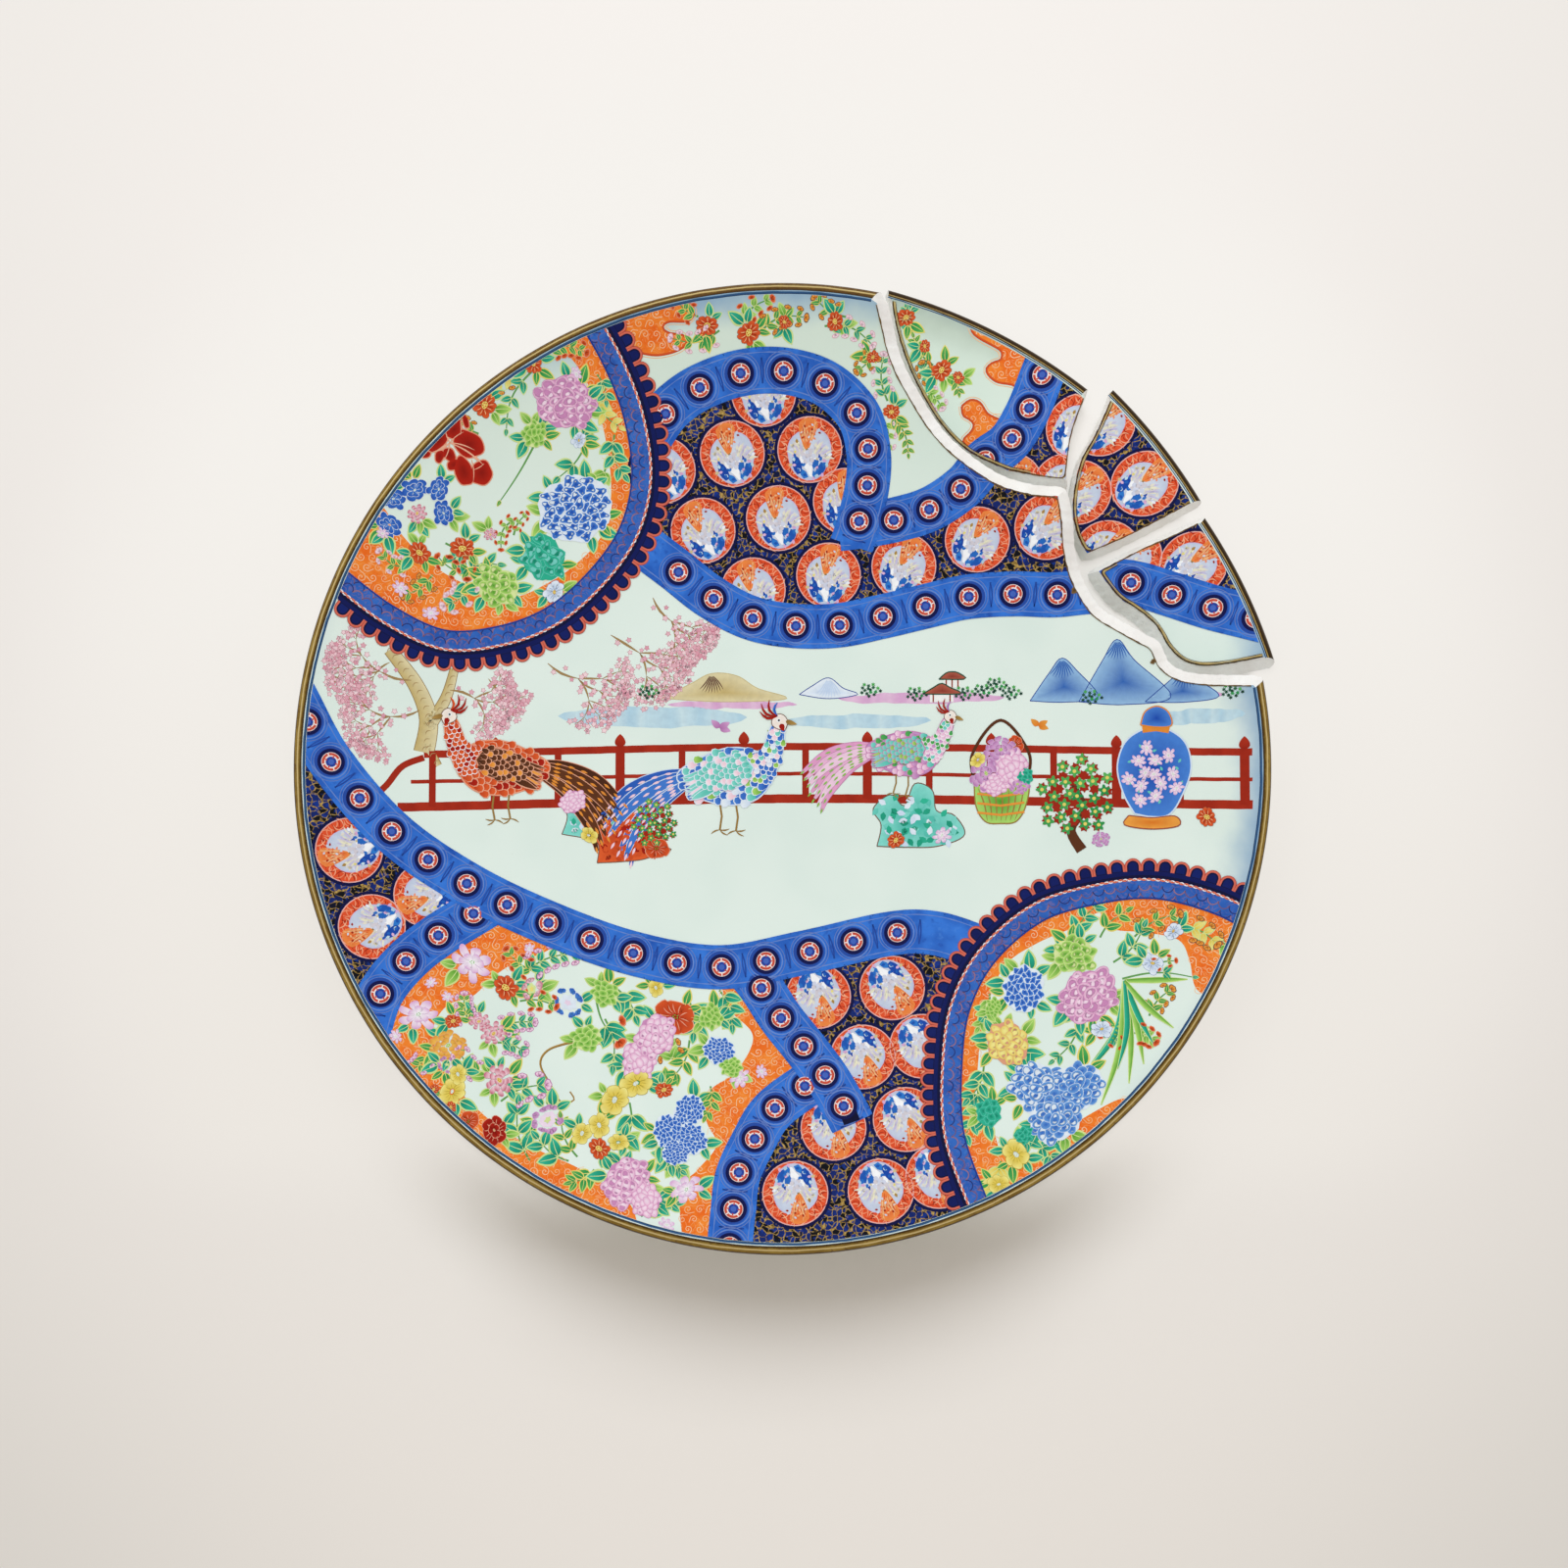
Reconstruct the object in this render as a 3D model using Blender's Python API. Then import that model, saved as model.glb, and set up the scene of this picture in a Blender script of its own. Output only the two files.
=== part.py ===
"""A large porcelain dish, broken at its upper right, and the three rim shards that came out of it.

The dish stands on its foot ring with its face up, its axis on the origin and the table at z = 0.
Every piece is first modelled where it was in the whole dish: one turned blank, cut along the
breaks. The shards are then laid on the table beside the gap, each on the point of its underside
that is under its centre of gravity, as a loose curved shard comes to rest.
"""
import math

import bmesh
import bpy
from mathutils import Matrix, Vector

MM = 0.001

# The turned dish.
RIM_RADIUS = 230 * MM
FLOOR_HEIGHT = 12 * MM        # the face at the centre, above the table
FACE_RISE = 45 * MM           # from the centre of the face up to the rim
FACE_POWER = 2.7              # a flat middle that turns up towards the rim
CENTRE_WALL = 7.2 * MM
RIM_WALL = 6.0 * MM
FOOT_RADIUS = 132 * MM        # outside of the foot ring at the table
FOOT_WIDTH = 4.5 * MM         # the flat that it stands on
FOOT_FLARE = 1.5 * MM         # how much wider the ring is on each side where it meets the dish
TURN_STEPS = 96

# The breaks, as the face shows them. Points are in mm from the dish's axis, x to the right and
# y away, and BARE is how far the break runs out under the face, in mm.
BODY_BREAKS = [
    [(43, 226), (47, 211), (51, 196), (59, 180), (75, 157), (98, 139), (116, 132), (131, 130)],
    [(131, 130), (133, 118), (134, 105), (138, 90), (147, 75), (158, 67), (175, 57)],
    [(175, 57), (179, 48), (187, 42), (200, 39), (227, 37)],
]
BODY_BARE = 5.5
UPPER_BREAKS = [
    [(46, 225), (49, 211), (55, 195), (63, 180), (74, 164), (88, 151), (107, 142)],
    [(107, 142), (121, 139), (134, 137)],
    [(134, 137), (136, 158), (143, 180)],
]
UPPER_BARE = [0.8, 4.0, 0.6]
MIDDLE_BREAKS = [
    [(151, 173), (144, 152), (138, 138), (136, 118), (139, 104), (144, 95)],
    [(144, 95), (163, 104), (195, 122)],
]
MIDDLE_BARE = [0.4, 2.5]
LOWER_BREAKS = [
    [(203, 109), (187, 103), (171, 98), (151, 90)],
    [(151, 90), (159, 77), (167, 70), (175, 61), (179, 51)],
    [(179, 51), (185, 43), (193, 39), (204, 38), (226, 39)],
]
LOWER_BARE = [2.5, 3.0, 4.5]
CURVE_STEPS = 3               # straight stretches between two points of a break
BEYOND_RIM = 1.12             # how far past the rim the cutters reach
SKIN = 1.0 * MM               # how far a slanting cut goes on past each side of the wall

# Where each shard lies: the point of its underside that touches the table, as a radius and an
# angle in the whole dish, its turn on the table, and how far that point has slid.
UPPER_REST = {"radius": 205 * MM, "angle": 61.7, "turn": -1.4, "slide": (2.0, 4.6)}
MIDDLE_REST = {"radius": 207 * MM, "angle": 39.0, "turn": -2.5, "slide": (3.4, 10.8)}
LOWER_REST = {"radius": 206 * MM, "angle": 20.3, "turn": 6.3, "slide": (1.9, 12.4)}

# The fired glaze and the broken body, as seen from a few steps away.
GLAZE_COLOUR = (0.80, 0.88, 0.84, 1.0)
GLAZE_ROUGHNESS = 0.12


def face_height(radius):
    """Height of the face: level in the middle, and rising with a power of the radius."""
    return FLOOR_HEIGHT + FACE_RISE * (radius / RIM_RADIUS) ** FACE_POWER


def face_slope(radius):
    """Angle of the face above the horizontal, from the derivative of face_height."""
    rise = FACE_POWER * FACE_RISE / RIM_RADIUS * (radius / RIM_RADIUS) ** (FACE_POWER - 1)
    return math.atan(rise)


def wall(radius):
    """Thickness of the dish square to its face, thinner towards the rim."""
    return CENTRE_WALL + (RIM_WALL - CENTRE_WALL) * radius / RIM_RADIUS


def underside_height(radius):
    """Height of the underside, one wall below the face."""
    return face_height(radius) - wall(radius) / math.cos(face_slope(radius))


def underside_slope(radius, span=1 * MM):
    """Angle of the underside above the horizontal, from its rise over a short span."""
    rise = underside_height(radius + span / 2) - underside_height(radius - span / 2)
    return math.atan(rise / span)


def rim_lip(steps=6):
    """The rounded lip: half a circle from the face round to the underside."""
    half = RIM_WALL / 2
    centre_radius = RIM_RADIUS - half
    slope = face_slope(centre_radius)
    middle = (face_height(centre_radius) + underside_height(centre_radius)) / 2
    points = []
    for step in range(steps + 1):
        angle = slope + math.pi / 2 - math.pi * step / steps
        points.append((centre_radius + half * math.cos(angle), middle + half * math.sin(angle)))
    outermost = max(radius for radius, _ in points)
    return [(radius + RIM_RADIUS - outermost, height) for radius, height in points]


def dish_profile():
    """Half section of the dish, from the centre of the face over the rim to the centre below."""
    face_radii = [RIM_RADIUS * share for share in (0, 0.2, 0.36, 0.5, 0.62, 0.72, 0.81, 0.89, 0.95)]
    face = [(radius, face_height(radius)) for radius in face_radii]
    outer_radii = [RIM_RADIUS * share for share in (0.95, 0.88, 0.8, 0.72, 0.65)]
    outside = [(radius, underside_height(radius)) for radius in outer_radii]
    ring_out = FOOT_RADIUS + FOOT_FLARE
    ring_in = FOOT_RADIUS - FOOT_WIDTH - FOOT_FLARE
    foot = [
        (ring_out, underside_height(ring_out)),
        (FOOT_RADIUS, 0.0),
        (FOOT_RADIUS - FOOT_WIDTH, 0.0),
        (ring_in, underside_height(ring_in)),
    ]
    inner_radii = [RIM_RADIUS * share for share in (0.4, 0.2, 0)]
    inside = [(radius, underside_height(radius)) for radius in inner_radii]
    return face + rim_lip() + outside + foot + inside


def turned_blank():
    """The whole dish as a mesh: its half section spun once about the axis."""
    form = bmesh.new()
    corners = [form.verts.new((radius, 0, height)) for radius, height in dish_profile()]
    edges = [form.edges.new(pair) for pair in zip(corners, corners[1:])]
    bmesh.ops.spin(form, geom=corners + edges, cent=(0, 0, 0), axis=(0, 0, 1),
                   angle=math.tau, steps=TURN_STEPS, use_merge=True)
    bmesh.ops.remove_doubles(form, verts=form.verts, dist=0.01 * MM)
    bmesh.ops.recalc_face_normals(form, faces=form.faces)
    mesh = bpy.data.meshes.new("turned_dish")
    form.to_mesh(mesh)
    form.free()
    return mesh


def curve_through(points, steps=CURVE_STEPS):
    """Points on a smooth (Catmull-Rom) curve through the given ones, ends included."""
    ends = [points[0]] + points + [points[-1]]
    curve = []
    for before, start, stop, after in zip(ends, ends[1:], ends[2:], ends[3:]):
        before, start, stop, after = (Vector(p) for p in (before, start, stop, after))
        for step in range(steps):
            t = step / steps
            curve.append(0.5 * (2 * start + (stop - before) * t
                                + (2 * before - 5 * start + 4 * stop - after) * t ** 2
                                + (3 * start - before - 3 * stop + after) * t ** 3))
    return curve + [Vector(points[-1])]


def broken_edge(breaks, bare):
    """The face's edge along all the breaks, and how far each point runs out below, in metres."""
    edge, reach = [], []
    for run, width in zip(breaks, bare):
        points = curve_through(run)
        edge += points if not edge else points[1:]
        reach += [width] * (len(edge) - len(reach))
    return [point * MM for point in edge], [width * MM for width in reach]


def outward(edge, side):
    """Unit vectors square to the edge, to its left (side 1) or its right (side -1)."""
    normals = []
    for index in range(len(edge)):
        along = edge[min(index + 1, len(edge) - 1)] - edge[max(index - 1, 0)]
        normals.append(Vector((-along.y, along.x)).normalized() * side)
    return normals


def ring_beyond(edge):
    """Points past the rim that close a cutter, from the edge's last point to its first."""
    start, stop = (math.atan2(point.y, point.x) for point in (edge[-1], edge[0]))
    steps = max(2, round(abs(stop - start) / math.radians(8)))
    far = RIM_RADIUS * BEYOND_RIM
    angles = [start + (stop - start) * step / steps for step in range(steps + 1)]
    return [Vector((far * math.cos(angle), far * math.sin(angle))) for angle in angles]


def break_cutter(name, breaks, bare, side):
    """A closed prism over one region of the dish, with its walls slanting where they cut it."""
    edge, reach = broken_edge(breaks, bare)
    normals = outward(edge, side)
    levels = [[], [], [], []]
    for point, width, normal in zip(edge, reach, normals):
        radius = min(point.length, RIM_RADIUS)
        top, bottom = face_height(radius), underside_height(radius)
        lean = normal * width * SKIN / (top - bottom)
        high, low = point - lean, point + normal * width + lean
        for level, (place, height) in zip(levels, ((high, RIM_RADIUS), (high, top + SKIN),
                                                   (low, bottom - SKIN), (low, -RIM_RADIUS))):
            level.append((*place, height))
    for place in ring_beyond(edge):
        for level, height in zip(levels, (RIM_RADIUS, FLOOR_HEIGHT + FACE_RISE, 0, -RIM_RADIUS)):
            level.append((*place, height))
    form = bmesh.new()
    rings = [[form.verts.new(corner) for corner in level] for level in levels]
    for upper, lower in zip(rings, rings[1:]):
        for index in range(len(upper)):
            following = (index + 1) % len(upper)
            quad = (upper[index], upper[following], lower[following], lower[index])
            form.faces.new(quad)
    form.faces.new(rings[0])
    form.faces.new(rings[-1])
    bmesh.ops.triangulate(form, faces=form.faces)
    bmesh.ops.recalc_face_normals(form, faces=form.faces)
    mesh = bpy.data.meshes.new(name)
    form.to_mesh(mesh)
    form.free()
    cutter = bpy.data.objects.new(name, mesh)
    cutter.hide_render = True
    cutter.display_type = "WIRE"
    bpy.context.collection.objects.link(cutter)
    return cutter


def porcelain(name):
    """Glazed porcelain for one piece."""
    material = bpy.data.materials.new(name)
    material.use_nodes = True
    shader = material.node_tree.nodes["Principled BSDF"]
    shader.inputs["Base Color"].default_value = GLAZE_COLOUR
    shader.inputs["Roughness"].default_value = GLAZE_ROUGHNESS
    shader.inputs["Metallic"].default_value = 0.0
    return material


def make_piece(name, mesh, operation, cutter):
    """One piece of the broken dish: the turned blank with the cutter's region cut off or kept."""
    piece = bpy.data.objects.new(name, mesh.copy())
    bpy.context.collection.objects.link(piece)
    cut = piece.modifiers.new("break", "BOOLEAN")
    cut.operation = operation
    cut.solver = "EXACT"
    cut.object = cutter
    cutter.parent = piece
    piece.data.materials.append(porcelain(name + "_glaze"))
    piece.data.shade_smooth()
    piece.data.set_sharp_from_angle(angle=math.radians(35))
    return piece


def at_rest(rest):
    """The move that lays a shard flat on the given point of its underside."""
    angle = math.radians(rest["angle"])
    touch = Vector((rest["radius"] * math.cos(angle), rest["radius"] * math.sin(angle),
                    underside_height(rest["radius"])))
    along_rim = Vector((-math.sin(angle), math.cos(angle), 0))
    level = Matrix.Rotation(underside_slope(rest["radius"]), 4, along_rim)
    turn = Matrix.Rotation(math.radians(rest["turn"]), 4, "Z")
    place = Vector((touch.x + rest["slide"][0] * MM, touch.y + rest["slide"][1] * MM, 0))
    return Matrix.Translation(place) @ turn @ level @ Matrix.Translation(-touch)


def set_down(piece, rest):
    """Lays a shard on the table, with its lowest corner at z = 0."""
    piece.matrix_world = at_rest(rest)
    bpy.context.view_layer.update()
    shape = piece.evaluated_get(bpy.context.evaluated_depsgraph_get())
    lowest = min((shape.matrix_world @ corner.co).z for corner in shape.data.vertices)
    piece.location.z -= lowest


def main():
    for old in list(bpy.data.objects):
        bpy.data.objects.remove(old)
    blank = turned_blank()
    gap = break_cutter("gap_cutter", BODY_BREAKS, [-BODY_BARE] * 3, -1)
    make_piece("dish_body", blank, "DIFFERENCE", gap)
    shards = (
        ("upper_shard", UPPER_BREAKS, UPPER_BARE, UPPER_REST),
        ("middle_shard", MIDDLE_BREAKS, MIDDLE_BARE, MIDDLE_REST),
        ("lower_shard", LOWER_BREAKS, LOWER_BARE, LOWER_REST),
    )
    for name, breaks, bare, rest in shards:
        cutter = break_cutter(name + "_cutter", breaks, bare, -1)
        set_down(make_piece(name, blank, "INTERSECT", cutter), rest)


main()
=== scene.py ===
# %% [markdown]
# # A broken porcelain dish and its three shards
# The object is a painted charger of the Imari kind, 460 mm across, lying face up on its foot ring.
# A wedge of the rim has broken out in three shards, which lie loose on the table beside the gap.
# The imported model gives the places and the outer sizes. This script makes the same four forms again
# with a finer surface, so that the glaze curves smoothly and the breaks are rough, and then lays the
# painting on them coat by coat.

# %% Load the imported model
import math

import bpy
import numpy as np
from mathutils.geometry import delaunay_2d_cdt
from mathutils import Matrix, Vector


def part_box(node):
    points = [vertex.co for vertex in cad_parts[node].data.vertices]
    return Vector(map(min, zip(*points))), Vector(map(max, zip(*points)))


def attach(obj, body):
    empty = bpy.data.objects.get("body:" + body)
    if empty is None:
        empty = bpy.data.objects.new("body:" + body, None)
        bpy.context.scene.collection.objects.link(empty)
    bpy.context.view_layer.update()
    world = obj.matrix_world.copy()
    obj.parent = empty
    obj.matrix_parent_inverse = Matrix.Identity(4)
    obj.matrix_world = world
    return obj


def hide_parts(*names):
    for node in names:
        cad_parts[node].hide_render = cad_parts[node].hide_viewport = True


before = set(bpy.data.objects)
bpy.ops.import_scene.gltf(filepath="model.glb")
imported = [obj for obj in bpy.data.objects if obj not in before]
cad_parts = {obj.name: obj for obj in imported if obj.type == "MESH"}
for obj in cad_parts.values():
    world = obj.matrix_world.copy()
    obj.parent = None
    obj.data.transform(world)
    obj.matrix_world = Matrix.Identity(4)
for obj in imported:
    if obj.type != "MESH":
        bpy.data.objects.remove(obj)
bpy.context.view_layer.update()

print("packed nodes:", sorted(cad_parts))

# %% [markdown]
# ## The form of the dish
# A thrown dish is one half section turned about its axis, so its face is a height that depends on the
# radius alone. The middle is level and the rise grows with a power of the radius, which gives the
# slow turn up towards the rim. Working from a formula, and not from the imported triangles, lets every
# later coat of paint ask for the exact height under any point.

# %% Heights of the face and of the underside, in millimetres
MM = 0.001
RIM = (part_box("dish_body")[1].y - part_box("dish_body")[0].y) / 2 / MM
FLOOR_HEIGHT, FACE_RISE, FACE_POWER = 12.0, 45.0, 2.7
CENTRE_WALL, RIM_WALL = 7.2, 6.0
FOOT_RADIUS, FOOT_WIDTH, FOOT_FLARE = 132.0, 4.5, 1.5
INSET = 0.1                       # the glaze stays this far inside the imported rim
LIP = RIM_WALL / 2


def face_height(radius):
    """Floor height plus the rise times (radius / rim) to the face's power."""
    return FLOOR_HEIGHT + FACE_RISE * (radius / RIM) ** FACE_POWER


def face_slope(radius):
    """Angle of the face above the horizontal: the arc tangent of the height's derivative."""
    return np.arctan(FACE_POWER * FACE_RISE / RIM * (radius / RIM) ** (FACE_POWER - 1))


def underside_height(radius):
    """Face height less the wall, which is measured square to the face and thins to the rim."""
    wall = CENTRE_WALL + (RIM_WALL - CENTRE_WALL) * radius / RIM
    return face_height(radius) - wall / np.cos(face_slope(radius))


def lip_point(turn):
    """Radius and height on the half-round lip: turn 0 is on the face, 1 on the underside."""
    centre = RIM - LIP
    angle = face_slope(centre) + math.pi / 2 - math.pi * turn
    middle = (face_height(centre) + underside_height(centre)) / 2
    return centre - INSET + LIP * np.cos(angle), middle + LIP * np.sin(angle)


LIP_START = float(lip_point(0.0)[0])
PAINT_RADIUS = LIP_START - 1.3    # the painting ends here, at the lines inside the gilding
print("rim", round(RIM, 2), "mm, lip starts at", round(LIP_START, 2), "mm")

# %% [markdown]
# ## The breaks
# Each piece is bounded by its breaks and a stretch of the rim. A break runs smoothly for a while and
# then turns where it met another crack, so it is given as a few runs of points with a smooth curve
# through each. A little ripple is added along it, because fired clay never parts in a perfect curve.
# Every break also runs outwards under the face, which is why a pale strip of bare clay shows.

# %% The breaks as runs of points in the plan, and how far each runs out below
BREAKS = {
    "dish_body": ([[(227, 37), (200, 39), (187, 42), (179, 48), (175, 57)],
                   [(175, 57), (158, 67), (147, 75), (138, 90), (134, 105), (133, 118), (131, 130)],
                   [(131, 130), (116, 132), (98, 139), (75, 157), (59, 180), (51, 196), (47, 211),
                    (43, 226)]], [5.5, 5.5, 5.5]),
    "upper_shard": ([[(46, 225), (49, 211), (55, 195), (63, 180), (74, 164), (88, 151), (107, 142)],
                     [(107, 142), (121, 139), (134, 137)],
                     [(134, 137), (136, 158), (143, 180)]], [0.8, 4.0, 0.6]),
    "middle_shard": ([[(151, 173), (144, 152), (138, 138), (136, 118), (139, 104), (144, 95)],
                      [(144, 95), (163, 104), (195, 122)]], [0.4, 2.5]),
    "lower_shard": ([[(203, 109), (187, 103), (171, 98), (151, 90)],
                     [(151, 90), (159, 77), (167, 70), (175, 61), (179, 51)],
                     [(179, 51), (185, 43), (193, 39), (204, 38), (226, 39)]], [2.5, 3.0, 4.5]),
}
REST = {
    "upper_shard": {"radius": 205.0, "angle": 61.7, "turn": -1.4, "slide": (2.0, 4.6)},
    "middle_shard": {"radius": 207.0, "angle": 39.0, "turn": -2.5, "slide": (3.4, 10.8)},
    "lower_shard": {"radius": 206.0, "angle": 20.3, "turn": 6.3, "slide": (1.9, 12.4)},
}
PIECES = list(BREAKS)
BREAK_STEP = 0.9                  # between two points along a break
BREAK_RIPPLE = 0.22


def ripple(along, wave, seed=0.0):
    """Smooth noise from -1 to 1: four sines whose wavelengths have no common measure."""
    shares = ((1.0, 0.42), (0.618, 0.28), (0.383, 0.18), (0.237, 0.12))
    return sum(share * np.sin(math.tau * along / (wave * part) + (seed + 1) * (number + 1) * 2.4)
               for number, (part, share) in enumerate(shares))


def smooth(points, step=1.0):
    """A Catmull-Rom curve through the points, cut into equal steps along its length."""
    points = np.asarray(points, float)
    ends = np.vstack([points[:1], points, points[-1:]])
    before, start, stop, after = (ends[k:len(ends) - 3 + k, None] for k in range(4))
    t = np.linspace(0, 1, 24, endpoint=False)[None, :, None]
    fine = 0.5 * (2 * start + (stop - before) * t + (2 * before - 5 * start + 4 * stop - after) * t ** 2
                  + (3 * start - before - 3 * stop + after) * t ** 3)
    fine = np.vstack([fine.reshape(-1, 2), points[-1:]])
    return even(fine, step)


def even(line, step):
    """The same line with its points an equal step apart, ends kept."""
    length = np.concatenate([[0], np.cumsum(np.hypot(*np.diff(line, axis=0).T))])
    at = np.linspace(0, length[-1], max(2, round(length[-1] / step) + 1))
    return np.column_stack([np.interp(at, length, line[:, axis]) for axis in (0, 1)])


def right_of(line):
    """Unit vectors square to the line, to the right of its way."""
    way = np.gradient(line, axis=0)
    way /= np.maximum(np.hypot(*way.T), 1e-9)[:, None]
    return np.column_stack([way[:, 1], -way[:, 0]])


def blurred(values, reach):
    """Each value averaged with its neighbours, up to reach places away, ends held."""
    padded = np.pad(values, ((reach, reach),) + ((0, 0),) * (values.ndim - 1), mode="edge")
    return sum(padded[k:k + len(values)] for k in range(2 * reach + 1)) / (2 * reach + 1)


def broken_line(name):
    """A piece's break in the plan, with the piece on its left, its outward vectors and its reach."""
    runs, bare = BREAKS[name]
    parts = [smooth(run, BREAK_STEP) for run in runs]
    line = np.vstack([part[: -1 if part is not parts[-1] else None] for part in parts])
    reach = np.repeat(bare, [len(part) for part in parts])[: len(line)].astype(float)
    outward = blurred(right_of(line), 2)
    outward /= np.hypot(*outward.T)[:, None]
    along = np.arange(len(line)) * BREAK_STEP
    seed = PIECES.index(name)
    fade = np.clip((RIM - 4 - np.hypot(*line.T)) / 6, 0, 1)
    line = line + outward * (BREAK_RIPPLE * fade * ripple(along, 7.0, seed))[:, None]
    return line, outward, blurred(reach, 4)


def angle_of(point):
    return math.atan2(point[1], point[0])


def rim_span(name):
    """First and last angle of a piece's stretch of rim, anticlockwise."""
    line = broken_line(name)[0]
    first, last = angle_of(line[-1]), angle_of(line[0])
    return first, last if last > first else last + math.tau


def paint_outline(name):
    """Closed outline of a piece's painted face: its break, then the circle where painting ends."""
    line = broken_line(name)[0]
    line = line[np.hypot(*line.T) < PAINT_RADIUS]
    first, last = angle_of(line[-1]), angle_of(line[0])
    last += math.tau * (last < first)
    turn = np.linspace(first, last, max(8, round((last - first) * PAINT_RADIUS / 2.5)))[1:-1]
    arc = PAINT_RADIUS * np.column_stack([np.cos(turn), np.sin(turn)])
    return np.vstack([line, arc])


for name in PIECES:
    print(name, "break", len(broken_line(name)[0]), "points, rim from",
          *(round(math.degrees(turn)) for turn in rim_span(name)), "degrees")

# %% [markdown]
# ## The camera, the light and the floor
# The camera looks down on the dish from a few degrees off the vertical. These come first, because
# every later step is judged through them. An even sky does most of the lighting, so each colour
# shows about as it is mixed. One wide soft lamp stands behind the dish and to its left and gives the
# shadow that falls towards the viewer. It is kept out of reflections, since no mirror image of a lamp
# shows on the real glaze. The floor's own colour makes the pale background.

# %% Camera
CAMERA_AIM = (0.0007, -0.0096, 0.056)
CAMERA_DISTANCE = 2.6
CAMERA_ELEVATION = math.radians(84)
CAMERA_LENS = 127.35
scene = bpy.context.scene
scene.view_settings.view_transform = "Standard"
camera = bpy.data.objects.new("camera", bpy.data.cameras.new("camera"))
camera.data.lens = CAMERA_LENS
camera.data.sensor_width = 36
camera.data.clip_end = 20
camera.rotation_euler = (math.pi / 2 - CAMERA_ELEVATION, 0, 0)
camera.location = (CAMERA_AIM[0],
                   CAMERA_AIM[1] - CAMERA_DISTANCE * math.cos(CAMERA_ELEVATION),
                   CAMERA_AIM[2] + CAMERA_DISTANCE * math.sin(CAMERA_ELEVATION))
scene.collection.objects.link(camera)
scene.camera = camera

# %% Light
LAMP_ELEVATION = math.radians(60)
LAMP_TURN = math.radians(94)      # from +X: behind the dish and a little to its left
LAMP_DISTANCE, LAMP_SIZE = 2.4, 1.5
LAMP_POWER, LAMP_TINT = 27.2, (0.93, 1.02, 1.09)
SKY = 0.558
SKY_TINT = (1.05, 1.0, 0.95, 1)


def towards(turn, elevation, distance):
    """The place at a turn from +X, an elevation above the floor and a distance from the middle."""
    flat = distance * math.cos(elevation)
    return flat * math.cos(turn), flat * math.sin(turn), distance * math.sin(elevation)


lamp = bpy.data.objects.new("soft_lamp", bpy.data.lights.new("soft_lamp", "AREA"))
lamp.data.shape = "DISK"
lamp.data.size = LAMP_SIZE
lamp.data.energy = LAMP_POWER
lamp.data.color = LAMP_TINT
lamp.location = towards(LAMP_TURN, LAMP_ELEVATION, LAMP_DISTANCE)
lamp.rotation_euler = (math.pi / 2 - LAMP_ELEVATION, 0, LAMP_TURN + math.pi / 2)
lamp.visible_glossy = False
scene.collection.objects.link(lamp)
world = bpy.data.worlds.new("sky")
scene.world = world
world.use_nodes = True
background = world.node_tree.nodes["Background"]
background.inputs["Color"].default_value = SKY_TINT
background.inputs["Strength"].default_value = SKY
print("camera", CAMERA_DISTANCE, "m from the dish, lamp", LAMP_POWER, "W, sky", SKY)

# %% [markdown]
# ## Mixing materials
# A finish is a small sum: a colour, plus cloudiness, minus wear. Blender adds such sums up with
# nodes. The two classes here let that sum be written as plain Python. `Wire` is a node's output that
# can be added and multiplied, and `Finish.node` makes any other node from its type, its settings
# and what goes into its sockets.

# %% Wire and Finish
def colour(code, alpha=1.0):
    """A colour written as six hexadecimal digits, turned into the linear light Blender mixes."""
    parts = [int(code[k:k + 2], 16) / 255 for k in (0, 2, 4)]
    return tuple(p / 12.92 if p <= 0.04045 else ((p + 0.055) / 1.055) ** 2.4 for p in parts) + (alpha,)


class Wire:
    """An output of a node, with arithmetic that adds Math nodes behind it."""

    def __init__(self, finish, output):
        self.finish, self.output = finish, output

    def math(self, operation, *others):
        return self.finish.node("ShaderNodeMath", {"operation": operation}, dict(enumerate((self, *others))))

    def __add__(self, other):
        return self.math("ADD", other)

    def __radd__(self, other):
        return self.math("ADD", other)

    def __sub__(self, other):
        return self.math("SUBTRACT", other)

    def __rsub__(self, other):
        return self.math("MULTIPLY", -1.0) + other

    def __mul__(self, other):
        return self.math("MULTIPLY", other)

    def __rmul__(self, other):
        return self.math("MULTIPLY", other)

    def __truediv__(self, other):
        return self.math("DIVIDE", other)

    def step(self, low, high):
        """0 below low, 1 above high and a smooth climb between them."""
        return self.finish.node("ShaderNodeMapRange", {"interpolation_type": "SMOOTHSTEP"},
                                {"Value": self, "From Min": low, "From Max": high})


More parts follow.
